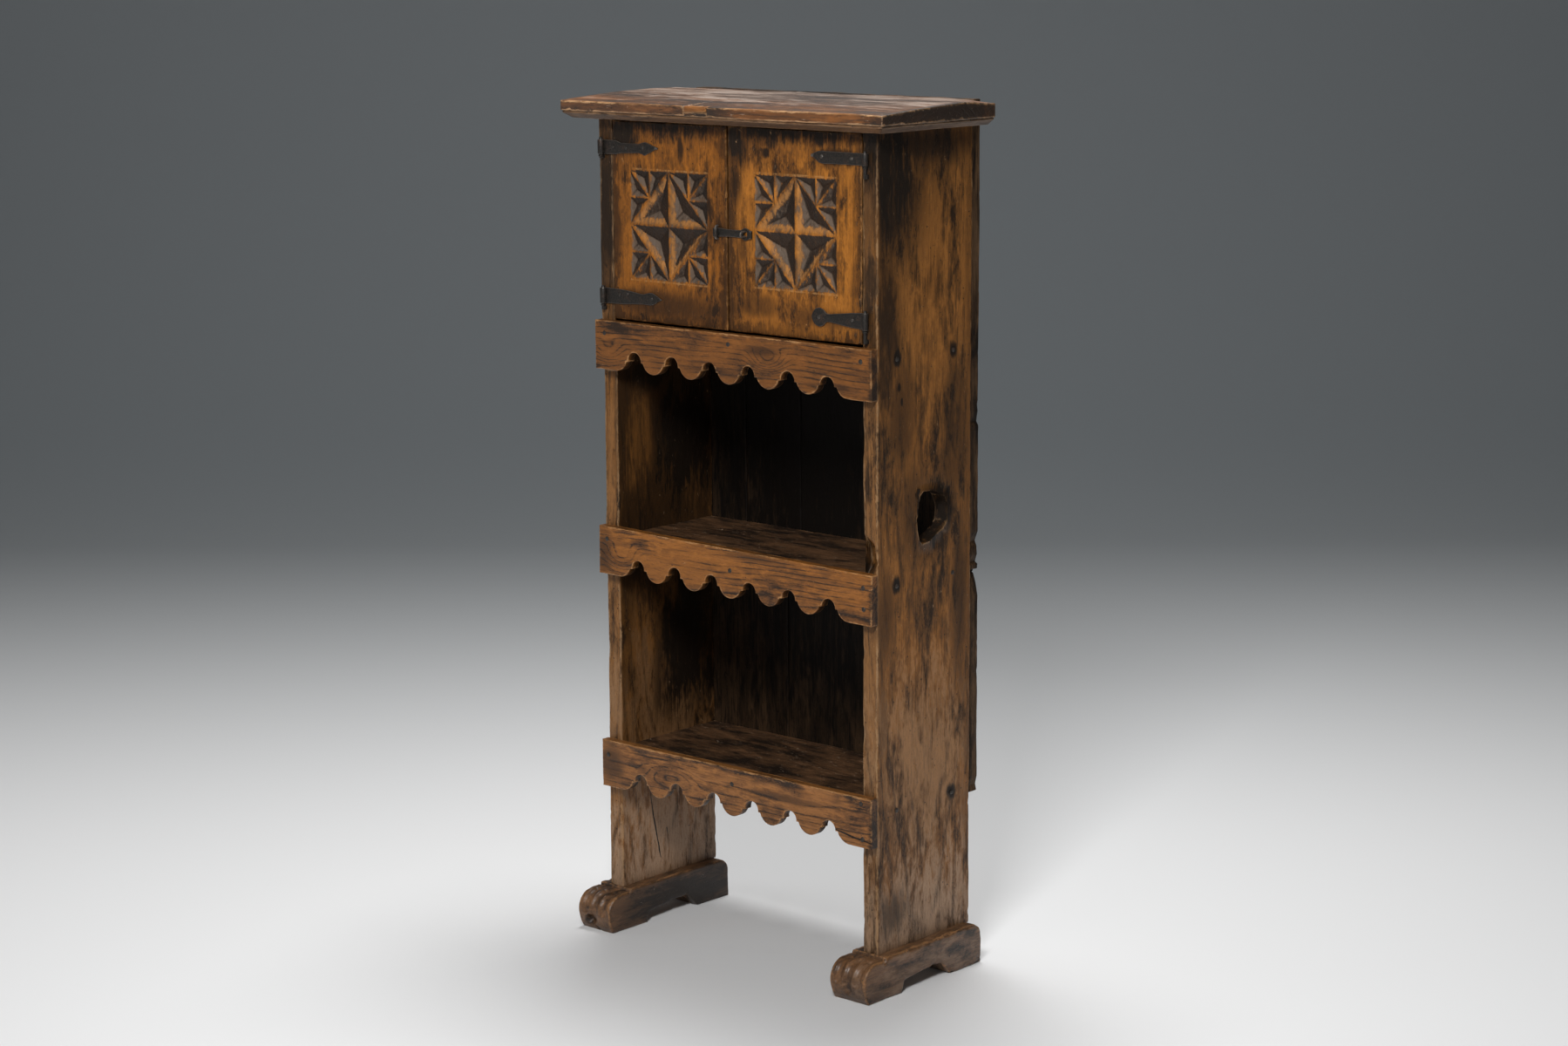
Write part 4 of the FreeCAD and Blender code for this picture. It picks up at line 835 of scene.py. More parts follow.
# The back, nailed on from behind in two tiers of upright softwood boards with gaps between them.
# The edges that show beside the right-hand side board are broken and gnawed.
back_low, back_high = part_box("upper_back_board_2")
back_wood = old_wood(
    "back_boards", 2, (96, 72, 50), (48, 35, 24), (17, 13, 10), 71, patina=0.5, streaks=0.6,
    worn=0.1, worn_tone=(60, 44, 30), holes=0.4, scuffs=0.1, matt=0.5, shine=0.12,
    # The dark stain over the back's inner face is partly painted shade inside the compartments.
    stains=[((-0.06, back_low.y, 0.95), (0.42, back_high.y - back_low.y, 1.0), 0.95)],
    rings=((0.0, 0.30, 0.8), 0.012, 0.5))
back_boards = [f"upper_back_board_{k}" for k in (1, 2, 3, 4)]
back_boards += [f"lower_back_board_{k}" for k in (1, 2, 3)]
for number, back_board in enumerate(back_boards):
    low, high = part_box(back_board)
    outline = rectangle(low.x, low.z, high.x, high.z)
    if back_board == "upper_back_board_4":
        broken = [(0, 8), (-5, 11), (-1, 24), (-2, 37), (-6, 46), (0, 62), (0, 236), (-4, 243),
                  (-1, 260)]
        outline[2:2] = [(high.x + side * mm, low.z + up * mm) for side, up in broken]
    if back_board == "lower_back_board_3":
        broken = [(0, 2), (-3, 12), (0, 26), (0, 330), (-4, 352), (-9, 368), (-16, 372)]
        outline[1:3] = [(high.x - 6 * mm, low.z)]
        outline[2:2] = [(high.x + side * mm, low.z + up * mm) for side, up in broken]
        outline[-1:-1] = [(high.x - 30 * mm, high.z)]
    board(back_board, "carcass", [outline], high.y - low.y,
          ((0, (low.y + high.y) / 2, 0), (1, 0, 0), (0, 0, 1)), back_wood, "back_wood",
          edge=1.6 * mm, corner=1.5 * mm, seed=70 + number, sway=0.9 * mm, wear=1.4,
          wobble=0.35 * mm)

# The three softwood aprons nailed across the front. The lower edge of each is sawn into six
# arches with rounded lobes between them, and a small step where an arch meets a lobe. The middle
# one hangs a little askew, its left end high.
apron_length = 600 * mm
apron_height = 82 * mm
apron_thickness = 16 * mm
arch_pitch = 84 * mm
arch_half_width = 14.5 * mm
arch_crown = 33 * mm
step_height = 17 * mm
step_width = 4.5 * mm
arch_rise = arch_crown - step_height
arch_radius = (arch_half_width ** 2 + arch_rise ** 2) / (2 * arch_rise)
lobe_half_width = (arch_pitch - 2 * arch_half_width - 2 * step_width) / 2
lobe_radius = (lobe_half_width ** 2 + step_height ** 2) / (2 * step_height)
ring_spacing = 5.2 * mm


def scallops(seed):
    """The apron's outline from its lower left corner. Saw marks move every arch and lobe a bit."""
    luck = np.random.default_rng(seed)
    lobe_angle = math.degrees(math.asin(lobe_half_width / lobe_radius))
    first = -2.5 * arch_pitch
    outline = [(-apron_length / 2, 0)]
    outline += arc((first - arch_pitch / 2, lobe_radius), lobe_radius, 270, 270 + lobe_angle, 5)
    for number in range(6):
        middle = first + number * arch_pitch + luck.uniform(-1, 1) * mm
        radius = arch_radius * luck.uniform(0.95, 1.04)
        crown = arch_crown + luck.uniform(-1.2, 0.8) * mm
        below = math.degrees(math.asin((crown - radius - step_height) / radius))
        outline += arc((middle, crown - radius), radius, 180 + below, -below, 14)
        if number < 5:
            outline += arc((middle + arch_pitch / 2, lobe_radius), lobe_radius,
                           270 - lobe_angle, 270 + lobe_angle, 11)
    outline += arc((-first + arch_pitch / 2, lobe_radius), lobe_radius, 270 - lobe_angle, 270, 5)
    return outline + [(apron_length / 2, 0), (apron_length / 2, apron_height),
                      (-apron_length / 2, apron_height)]


apron_face = front - apron_thickness
for apron, seed, droop, light, pith, knots, stains, cracks in (
        ("upper_apron", 91, 0, (130, 80, 34), (0.02, 0.0, 0.93),
         [((0.085, front, 1.016), (0.06, 0.05, 0.032), 5),
          ((-0.27, front, 1.00), (0.05, 0.05, 0.03), 3)],
         [((0.07, front, 1.03), (0.05, 0.05, 0.012), 0.6),
          ((0.22, front, 0.985), (0.07, 0.05, 0.010), 0.7),
          ((-0.05, front, 0.99), (0.10, 0.05, 0.008), 0.5)], ()),
        ("middle_apron", 92, 9 * mm, (152, 95, 40), (0.30, 0.0, 0.585),
         [((-0.245, front, 0.655), (0.06, 0.05, 0.04), 4)],
         [((-0.29, front, 0.66), (0.03, 0.05, 0.05), 0.6),
          ((0.05, front, 0.69), (0.12, 0.05, 0.010), 0.4)], ()),
        ("lower_apron", 94, 0, (154, 101, 52), (-0.10, 0.0, 0.33),
         [((-0.14, front, 0.292), (0.09, 0.05, 0.03), 4)],
         [((-0.28, front, 0.29), (0.04, 0.05, 0.05), 0.6),
          ((0.12, front, 0.30), (0.10, 0.05, 0.010), 0.5)],
         [((0.215, apron_face, 0.270), (0.262, apron_face, 0.262), 1.2 * mm),
          ((0.262, apron_face, 0.262), (0.30, apron_face, 0.258), 1.6 * mm)])):
    low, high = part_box(apron)
    tilt = math.atan(droop / apron_length)
    bottom = (low.z + high.z) / 2 - apron_height / 2
    apron_wood = old_wood(
        apron + "_wood", 0, light, (96, 61, 32), (38, 26, 17), seed, patina=0.42, short=1.5,
        streaks=0.35, worn=0.85, worn_tone=(176, 130, 84), holes=0.3, scuffs=0.35, matt=0.38,
        rings=(pith, ring_spacing, 1.0), knots=knots, cracks=cracks,
        # The dark stain at the right end is the end grain; the one along the back face and lower edge is
        # partly painted shade under the arches.
        stains=stains + [((high.x + 0.008, front, low.z), (0.018, 0.05, 0.14), 1.0),
                         ((0, high.y, low.z), (2.0, apron_thickness, 0.09), 0.9)])
    board(apron, "carcass", [scallops(seed)], apron_thickness,
          ((0, (low.y + high.y) / 2, bottom), (math.cos(tilt), 0, -math.sin(tilt)),
           (math.sin(tilt), 0, math.cos(tilt))), apron_wood, "apron_wood",
          edge=0.8 * mm, corner=0.6 * mm, step=2.2 * mm, cell=8 * mm, rows=6, seed=seed,
          sway=0.3 * mm, wobble=0.5 * mm, wear=1.0)

# The top, two softwood boards nailed down on the sides. They thin towards the front and join left
# of the middle. A sliver of wood has been let into the front edge beside the joint, and the
# right end is waney and split.
top_low, top_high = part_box("top_board_left")
right_low, right_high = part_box("top_board_right")
top_thickness = top_high.z - top_low.z
top_middle = (top_low.z + top_high.z) / 2
patch_low, patch_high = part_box("top_patch")
patch_gap = 0.4 * mm
patch_bed = 2 * mm
# the worn thickness of the boards at places behind their front edge, in millimetres
thinning = ([0, 40, 80, 110, 144, 170], [17, 20, 23, 24.7, 26.4, 27])


def top_slope(flat):
    """How much lower the upper face is than at the back, in metres. The boards thin towards the
    front, noise dents them, and at the right end there are a low hump and a deeper dip, each
    e^-(d/w)^2 high, with d the distance from its middle and w its width."""
    back = (flat[:, 1] - top_low.y) / mm
    thickness = np.interp(back, *thinning)
    places = np.stack([flat[:, 0], flat[:, 1], np.zeros(len(flat))], 1)
    dents = (0.9 * rough(places, 70 * mm, 95) - 0.5) * np.clip(back / 60, 0, 1)
    end = np.exp(-((right_high.x - flat[:, 0]) / (45 * mm)) ** 2)
    hump = 1.5 * np.exp(-((back - 195) / 40) ** 2) - 3.5 * np.exp(-((back - 275) / 45) ** 2)
    return (thickness - thinning[1][-1] + dents + end * (hump - 0.5)) * mm


top_left = rectangle(top_low.x, top_low.y, top_high.x, top_high.y)
top_right = rectangle(patch_high.x, right_low.y, right_high.x, right_high.y)
top_right[-1:] = [(right_low.x, right_high.y), (right_low.x, patch_high.y), (patch_high.x, patch_high.y)]
top_wood = old_wood(
    "top_boards", 0, (124, 76, 36), (76, 50, 32), (38, 28, 21), 101, patina=0.6, streaks=0.4,
    worn=0.9, worn_tone=(188, 146, 104), holes=0.6, scuffs=0.9, scuff_tone=(190, 168, 146),
    matt=0.36, shine=0.5, fine=0.7, rings=((0.1, -0.02, 1.30), 0.012, 0.5),
    # The grey pale place over the top's upper face is painted sheen.
    pale_places=[((0, 0.02, 1.432), (0.6, 0.30, 0.014), 0.95, 158, 142, 130)],
    stains=[((right_high.x, 0, top_middle), (0.014, 0.30, 0.05), 0.9),
            ((0.14, top_low.y, 1.405), (0.20, 0.012, 0.03), -0.9),
            ((-0.20, top_low.y, 1.405), (0.14, 0.012, 0.03), -0.5),
            ((top_low.x, top_low.y + 0.13, top_middle), (0.012, 0.20, 0.04), 0.5)])
top_shape = dict(edge=1.7 * mm, corner=2.5 * mm, cell=11 * mm, step=5 * mm, lift=top_slope,
                 sway=0.8 * mm, wear=1.3, wobble=0.6 * mm)
under_patch = slab(
    [rectangle(patch_low.x, patch_low.y, patch_high.x + patch_bed, patch_high.y + patch_bed)],
    patch_low.z - top_low.z, ((0, 0, (top_low.z + patch_low.z) / 2), (1, 0, 0), (0, 1, 0)),
    edge=1.2 * mm, corner=0.5 * mm, step=3 * mm, cell=6 * mm, rows=3, seed=99, wobble=0)
for name, outline, seed, more in (("top_board_left", top_left, 96, []),
                                  ("top_board_right", top_right, 97, [under_patch])):
    board(name, "carcass", [outline], top_thickness, ((0, 0, top_middle), (1, 0, 0), (0, 1, 0)),
          top_wood, "top_wood", also=more, seed=seed, **top_shape)
patch_wood = old_wood("top_patch_wood", 0, (140, 88, 44), (96, 62, 36), (50, 34, 22), 103, patina=0.4,
                      streaks=0.5, worn=0.5, holes=0.1)
patch_outline = rectangle(patch_low.x + patch_gap, patch_low.y, patch_high.x - patch_gap, patch_high.y)
board("top_patch", "carcass", [patch_outline], patch_high.z - patch_low.z,
      ((0, 0, (patch_low.z + patch_high.z) / 2), (1, 0, 0), (0, 1, 0)), patch_wood, "top_wood",
      edge=1.1 * mm, corner=1 * mm, step=3 * mm, cell=5 * mm, seed=98, wobble=0)

# The moulding under the top: three softwood strips with a fillet above a chamfer, mitred at the
# front corners and fixed to the side boards with brads.
strip_low, strip_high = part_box("cornice_front")
strip_width = 42 * mm
fillet = 3 * mm
chamfer_inset = 12 * mm


def dented(places, cell, seed, depth):
    """The places moved by noise, along each axis by its own, and by about the depth at most."""
    return places + np.stack([rough(places, cell, seed + k) for k in range(3)], 1) * depth


def swept(rings):
    """The closed skin over rings of points, an array of (stations, ring, 3). Each ring turns to the
    left seen along the way."""
    stations, around = rings.shape[:2]
    order = np.arange(stations * around).reshape(stations, around)
    here, there = order[:-1], order[1:]
    sides = np.stack([here, np.roll(here, -1, 1), np.roll(there, -1, 1), there], -1)
    faces = sides.reshape(-1, 4).tolist() + [order[0, ::-1].tolist(), order[-1].tolist()]
    return rings.reshape(-1, 3), faces


def moulding(way, out, start, end, mitres, seed):
    """A strip with the moulding's section, an (outward, up) outline carried along the way: a place
    on it is the distance times the way, plus its outward number times the outward direction, plus
    its height. A mitred end runs on by as much as the place is outward."""
    section = np.array([(0, strip_low.z), (strip_width - chamfer_inset, strip_low.z),
                        (strip_width, strip_high.z - fillet), (strip_width, strip_high.z),
                        (0, strip_high.z)])
    ring, tips = softened(section, 1.3 * mm)
    ring = walked(ring, 2.5 * mm)
    share = np.linspace(0, 1, 90)[:, None]
    starts = start - mitres[0] * ring[:, 0]
    ends = end + mitres[1] * ring[:, 0]
    along = starts + (ends - starts) * share
    way, out = np.array(way, float), np.array(out, float)
    rings = along[:, :, None] * way + ring[None, :, :1] * out + ring[None, :, 1:] * np.array([0, 0, 1.0])
    places = dented(rings.reshape(-1, 3), 25 * mm, seed, 0.45 * mm)
    places, faces = swept(places.reshape(rings.shape))
    tip_away = np.min([np.linalg.norm(ring - tip, axis=1) for tip in tips[1:4]], axis=0)
    return places, faces, {"edge": np.tile(tip_away, len(share))}


cornice_wood = old_wood(
    "cornice_strips", 0, (104, 74, 48), (76, 54, 38), (38, 28, 21), 111, patina=0.5, streaks=0.5,
    worn=0.6, worn_tone=(150, 116, 84), holes=0.2, scuffs=0.5, matt=0.45)
cornice_side_wood = old_wood(
    "cornice_side_strips", 1, (92, 68, 48), (66, 48, 36), (34, 26, 20), 113, patina=0.5,
    streaks=0.5, worn=0.6, worn_tone=(140, 112, 84), holes=0.2, scuffs=0.5, matt=0.45,
    cracks=[((outer + 38 * mm, front + 0.02, 1.394), (outer + 42 * mm, front + 0.075, 1.395), 1 * mm)])
for strip, base, way, out, start, end, mitres, finish in (
        ("cornice_front", (0, front, 0), (1, 0, 0), (0, -1, 0), -outer, outer, (1, 1), cornice_wood),
        ("cornice_right", (outer, 0, 0), (0, 1, 0), (1, 0, 0), front, rear, (1, 0), cornice_side_wood),
        ("cornice_left", (-outer, 0, 0), (0, -1, 0), (-1, 0, 0), -rear, -front, (0, 1),
         cornice_side_wood)):
    places, faces, marks = moulding(way, out, start, end, mitres, 112)
    thing = meshed(strip + "_worn", places + np.array(base), faces, marks, finish)
    dressed(thing, strip, "carcass")

# The two doors, each one softwood board with a square field of chip carving: three-sided pits cut
# down to a point, which leave a star of thin ridges. Wax and dirt have blackened the pits, and
# hands have rubbed the ridges back to honey. Light is painted on the pits too: the sides that face
# up and right are lighter, honey near the ridges, and the valleys are blackest, dirt with painted
# shade.
door_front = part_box("left_door")[0].y
door_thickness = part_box("left_door")[1].y - door_front
field_half = np.array([86.5, 90.0]) * mm
chip_inset = 0.3 * mm
chip_depth = 7.6 * mm
# honey of the wear on edges and ridges, and of the painted highlight on the pits' lit sides
worn_and_lit_honey = (184, 134, 82)
# the five pits in a quarter of the field, as shares of the quarter's width and height
quarter_chips = np.array([[(0, 0), (0, 1), (1, 0)], [(.5, .5), (0, 1), (.5, 1)],
                          [(.5, .5), (.5, 1), (1, 1)], [(.5, .5), (1, 1), (1, .5)],
                          [(.5, .5), (1, .5), (1, 0)]])


def chips_of(field_centre):
    """The corners of every pit, (pits, 3, 2), turning to the left."""
    pits = []
    for across, up in ((1, 1), (-1, 1), (-1, -1), (1, -1)):
        corners = field_centre + quarter_chips * [across, up] * field_half
        turn = np.cross(corners[:, 1] - corners[:, 0], corners[:, 2] - corners[:, 0])
        corners[turn < 0] = corners[turn < 0][:, ::-1]
        pits.append(corners)
    return np.concatenate(pits)


def pit_middles(pits):
    """The centre and radius of the circle that touches all three sides of each pit."""
    lengths = np.linalg.norm(np.roll(pits, 1, 1) - np.roll(pits, -1, 1), axis=2)
    centres = (pits * lengths[:, :, None]).sum(1) / lengths.sum(1, keepdims=True)
    area = np.abs(np.cross(pits[:, 1] - pits[:, 0], pits[:, 2] - pits[:, 0])) / 2
    return centres, 2 * area / lengths.sum(1)


def carved(flat, pits):
    """Depth of the carving, the downhill direction and size of the pit it belongs to, and how near
    a valley is. With t the distance to the pit's nearest side, 0 to 1 at its middle, the depth
    is its greatest times 1 - (1 - t)^1.4."""
    centres, radii = pit_middles(pits)
    depth = np.zeros(len(flat))
    downhill = np.zeros((len(flat), 2))
    size = np.zeros(len(flat))
    valley = np.zeros(len(flat))
    for corners, radius in zip(pits, radii):
        sides = np.roll(corners, -1, 0) - corners
        inward = np.stack([-sides[:, 1], sides[:, 0]], 1) / np.linalg.norm(sides, axis=1)[:, None]
        away = ((flat[:, None] - corners) * inward).sum(2)
        nearest = away.argmin(1)
        second = np.sort(away, axis=1)[:, 1]
        share = np.clip((away.min(1) - chip_inset) / (radius - chip_inset), 0, 1)
        deep = chip_depth * radius / radii.max() * (1 - (1 - share) ** 1.4)
        here = deep > depth
        depth[here] = deep[here]
        downhill[here] = inward[nearest[here]]
        size[here] = radius / radii.max()
        valley[here] = np.clip(1 - (second - away.min(1))[here] / (5 * mm), 0, 1) * share[here] ** 0.5
    return depth, downhill, size, valley


def carving_creases(pits, grain):
    """Points along the sides of every pit and down its three valleys, with the ties between them,
    and a net of the given grain over the rest of the field."""
    centres, radii = pit_middles(pits)
    places, ties = [], []
    for corners, centre, radius in zip(pits, centres, radii):
        rims = centre + (corners - centre) * (radius - chip_inset) / radius
        for start, end in [(rims[0], rims[1]), (rims[1], rims[2]), (rims[2], rims[0])] \
                + [(rim, centre) for rim in rims]:
            count = max(2, int(np.linalg.norm(end - start) / (3 * mm)) + 1)
            base = len(places)
            places += (start + (end - start) * np.linspace(0, 1, count)[:, None]).tolist()
            ties += [(base + k, base + k + 1) for k in range(count - 1)]
    places = np.round(np.array(places) / (0.02 * mm)) * (0.02 * mm)
    unique, which = np.unique(places, axis=0, return_inverse=True)
    ties = {tuple(sorted((int(which[a]), int(which[b])))) for a, b in ties}
    ties = sorted(tie for tie in ties if tie[0] != tie[1])
    low, high = pits.reshape(-1, 2).min(0) - 6 * mm, pits.reshape(-1, 2).max(0) + 6 * mm
    net = np.stack(np.meshgrid(np.arange(low[0], high[0], grain), np.arange(low[1], high[1], grain)), -1)
    net[1::2, :, 0] += grain / 2
    net = net.reshape(-1, 2)
    line = unique[np.array(ties)]
    gap = np.full(len(net), np.inf)
    for start, end in line:
        side = end - start
        share = np.clip((net - start) @ side / (side @ side), 0, 1)
        gap = np.minimum(gap, np.linalg.norm(net - start - share[:, None] * side, axis=1))
    net = net[gap > 0.7 * mm]

    def clear(flat):
        return ((flat > low - 2 * mm) & (flat < high + 2 * mm)).all(1)

    return np.concatenate([unique, net]), ties, clear


def gouged(pits, seed):
    """The carving as a relief of the door's front: the pits, a little deeper here and shallower
    there, with the marks of the gouge on them."""

    def relief(flat):
        places = np.stack([flat[:, 0], flat[:, 1], np.zeros(len(flat))], 1)
        depth, _, _, _ = carved(flat, pits)
        cut = np.clip(depth / (1 * mm), 0, 1)
        return -depth * (1 + 0.12 * rough(places, 14 * mm, seed)) \
            + cut * 0.22 * mm * rough(places, 5 * mm, seed + 5)

    return relief


def carving_marks(flat, fore, pits, field_centre):
    """What the wood's colours need to know at each point, from 0 to 1: cut is inside the pits, pit
    is how black it is, less near a ridge on the sides that face up and right, where wear and a
    painted highlight show, valley is along the bottoms, where painted shade goes with the dirt, lit
    is how far the side faces up and right, for painted light, and lip is the field's upper and
    lower border. fore is true for the points of the front face."""
    depth, downhill, size, valley = carved(flat, pits)
    depth[~fore] = 0
    # facing and rubbed paint light on the sides that face up and right: honey near the ridges, painted
    # highlight with some wear, and less black deeper down
    facing = np.clip((downhill @ [0.8, 0.6] + 0.50) / 0.5, 0, 1)
    share = depth / (chip_depth * np.maximum(size, 0.1))
    shallow = np.clip((0.74 - share) / 0.42, 0, 1)
    rubbed = np.clip(facing * shallow * 1.3, 0, 1) * np.where(size > 0.8, 1.0, 0.4)
    black = np.maximum(np.clip(depth / (0.8 * mm), 0, 1) * (1 - 0.85 * rubbed), 0.28)
    beyond = np.abs(flat - field_centre) - field_half
    in_field = (beyond < -0.2 * mm).all(1) & fore
    rim = np.clip(1 - np.abs(beyond[:, 1] - 1.5 * mm) / (3.5 * mm), 0, 1)
    on_rim = fore & (beyond[:, 0] < 2 * mm) & (beyond[:, 1] > -1 * mm)
    return {"cut": np.where(in_field, np.clip(depth / (2 * mm), 0, 1), 0),
            "pit": np.where(in_field, black, 0),
            "valley": np.where(depth > 0, valley, 0),
            "lit": np.clip(downhill @ [0.75, 0.65] * 0.6 + 0.42, 0, 1),
            "lip": np.where(on_rim, rim, 0)}


def sooted(wood, colour, height):
    """The carved field's colours: old smoke and wax blacken the pits, and the ridges and the field's
    border are rubbed back to honey in places. Light is painted on them too: the pits' sides that
    face up and right are grey-brown and honey near the ridges, the others dark, and the valleys
    blackest, dirt with painted shade."""
    cut = wood.mark("cut")
    grime_and_painted_light = (wood.mark("pit") + wood.frayed(veil=1.3, blotch=1.5, speckle=0.6)).over(0.22, 0.72)
    # painted light: grey-brown on the sides that face up and right, dark brown on the others, and blackest
    # in the valleys as painted shade with dirt
    lit = (wood.mark("lit") + wood.frayed(blotch=1.3, speckle=0.6)).over(0.30, 1.05)
    soot_and_painted_light = wood.mixed(lit, paint(38, 31, 26), paint(102, 88, 76))
    soot_and_painted_light = wood.mixed(wood.mark("valley").over(0.05, 1.0) * 0.8, soot_and_painted_light, paint(22, 17, 14))
    # honey near the ridges of the lit sides: painted highlight with wear
    colour = wood.mixed((1 - grime_and_painted_light) * cut * 0.45, colour, paint(*worn_and_lit_honey))
    colour = wood.mixed(grime_and_painted_light * 0.96, colour, soot_and_painted_light)
    lip = (wood.mark("lip") + wood.frayed(blotch=2.4, veil=1.6)).over(0.45, 1.05)
    colour = wood.mixed(lip * 0.55, colour, paint(*worn_and_lit_honey))
    return colour, height + cut * wood.frayed(blotch=2.2 * mm, speckle=0.3 * mm)


# The left door's light tone is darker and its patina heavier than the right door's, partly painted shade
# where the light falls off to the left. The wide dark stain along each door's top is painted shadow under
# the moulding.
for door, leaf, field_centre, pith, seed, patina, light, stains in (
        ("left_door", "left_leaf", (-142 * mm, 1215 * mm), (-0.10, 0.03, 1.9), 121, 0.54,
         (152, 92, 30),
         [((-0.25, door_front, 1.36), (0.07, 0.05, 0.05), 0.95),
          ((-0.14, door_front, 1.400), (0.24, 0.05, 0.056), 0.95),
          ((-0.15, door_front, 1.085), (0.16, 0.05, 0.035), 0.65),
          ((-0.115, door_front, 1.345), (0.010, 0.05, 0.035), 0.8),
          ((-0.262, door_front, 1.20), (0.012, 0.05, 0.11), 0.6),
          ((-0.02, door_front, 1.35), (0.02, 0.05, 0.03), 0.5),
          ((-0.24, door_front, 1.09), (0.09, 0.05, 0.025), 0.6),
          ((-0.10, door_front, 1.07), (0.14, 0.05, 0.012), 0.4),
          ((-0.05, door_front, 1.215), (0.02, 0.05, 0.02), 0.5),
          ((-0.035, door_front, 1.27), (0.018, 0.05, 0.07), -0.6),
          ((-0.24, door_front, 1.16), (0.02, 0.05, 0.05), -0.5),
          ((-0.20, door_front, 1.322), (0.05, 0.05, 0.012), -0.5)]),
        ("right_door", "right_leaf", (132 * mm, 1221 * mm), (0.13, 0.03, 1.9), 124, 0.48,
         (166, 104, 38),
         [((0.00, door_front, 1.36), (0.045, 0.05, 0.055), 0.95),
          ((0.005, door_front, 1.29), (0.016, 0.05, 0.05), 0.8),
          ((0.13, door_front, 1.400), (0.30, 0.05, 0.060), 1.0),
          ((0.07, door_front, 1.345), (0.012, 0.05, 0.012), 0.9),
          ((0.22, door_front, 1.345), (0.07, 0.05, 0.022), 0.8),
          ((0.02, door_front, 1.19), (0.016, 0.05, 0.03), 0.5),
          ((0.05, door_front, 1.10), (0.06, 0.05, 0.025), 0.5),
          ((0.20, door_front, 1.09), (0.10, 0.05, 0.02), 0.45),
          ((0.244, door_front, 1.22), (0.020, 0.05, 0.09), -0.8),
          ((0.015, door_front, 1.24), (0.012, 0.05, 0.05), -0.5),
          ((0.11, door_front, 1.065), (0.09, 0.05, 0.010), -0.4)])):
    low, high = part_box(door)
    middle = (low.y + high.y) / 2
    pits = chips_of(np.array(field_centre))
    room, faces, marks = slab(
        [rectangle(low.x, low.z, high.x, high.z)], door_thickness,
        ((0, middle, 0), (1, 0, 0), (0, 0, 1)), edge=1.5 * mm, corner=1.5 * mm, seed=seed,
        sway=0.5 * mm, wobble=0.35 * mm, creases=carving_creases(pits, 2.0 * mm),
        lift=gouged(pits, seed))
    marks.update(carving_marks(room[:, [0, 2]], room[:, 1] < middle, pits, field_centre))
    door_wood = old_wood(
        door + "_wood", 2, light, (94, 58, 25), (34, 24, 16), seed, patina=patina, border=0.9,
        stains=stains, streaks=0.3, rings=(pith, 0.011, 0.45), holes=0.4, worn=0.55,
        worn_tone=worn_and_lit_honey, scuffs=0.5, carving=sooted, matt=0.36, shine=0.18, short=2.2)
    dressed(meshed(door + "_carved", room, faces, marks, door_wood), door, leaf)

# The hinges, forged from iron bar. Each strap has one end rolled round an upright pin, and the rest
# lies on the door and is drawn out to a leaf-shaped or, below on the right, a round tip. The pin
# stands on a collar, and its lower end is bent back as a spike into the side board.
pin_radius = 2.75 * mm
pin_depth = front - 6.3 * mm
strap_thickness = 2.5 * mm
strap_back = door_front
strap_middle = strap_back - strap_thickness / 2
curl_radius = strap_middle - pin_depth
left_pin = -290 * mm
right_pin = 280 * mm
spike_back = front + 26 * mm
spike_half_width = 3 * mm
spike_height = 7 * mm


def old_iron(name, seed, rust=0.35, bright=0.5):
    """Forged iron gone black: a scale of dark and brown patches over hammer dents, rubbed
    brighter on its edges and on high spots. The bright edges are wear and painted glints together."""
    iron = Finish(name)
    place = iron.place()
    cloud = iron.noise(iron.stretched(place, [60, 60, 60]), 4.0, 0.6, 0.5, seed)
    scale = iron.noise(iron.stretched(place, [420, 420, 420]), 4.0, 0.65, 0.3, seed + 2)
    grit = iron.noise(iron.stretched(place, [1900, 1900, 1900]), 2.0, 0.6, 0.0, seed + 4)
    colour = iron.mixed(scale.over(0.35, 0.7), paint(36, 33, 31), paint(58, 53, 48))
    brown = (cloud * 0.6 + scale * 0.4).over(0.5, 0.64) * rust
    colour = iron.mixed(brown, colour, paint(84, 56, 38))
    edge = iron.mark("edge")
    # the pale tone along the edges: wear and painted glints together
    high = 1 - (edge + (scale - 0.5) * (1.6 * mm)).over(0.05 * mm, 0.7 * mm)
    colour = iron.mixed(high * bright, colour, paint(128, 120, 112))
    height = (scale - 0.5) * (0.30 * mm) + (cloud - 0.5) * (0.9 * mm) + (grit - 0.5) * (0.05 * mm)
    roughness = 0.50 + (scale - 0.5) * 0.35 - high * 0.12 + brown * 0.2
    return iron.surface(colour, roughness, height, metal=0.55 - brown * 0.4)


def iron_piece(node, how, body, parts, finish, sharp=42):
    """One mesh of the joined parts in place of a node. Edges sharper than the angle, in degrees,
    are kept crisp; without an angle the piece is smooth."""
    thing = meshed(f"{node}_{how}", *joined(parts), finish)
    if sharp:
        thing.data.set_sharp_from_angle(angle=math.radians(sharp))
    dressed(thing, node, body)


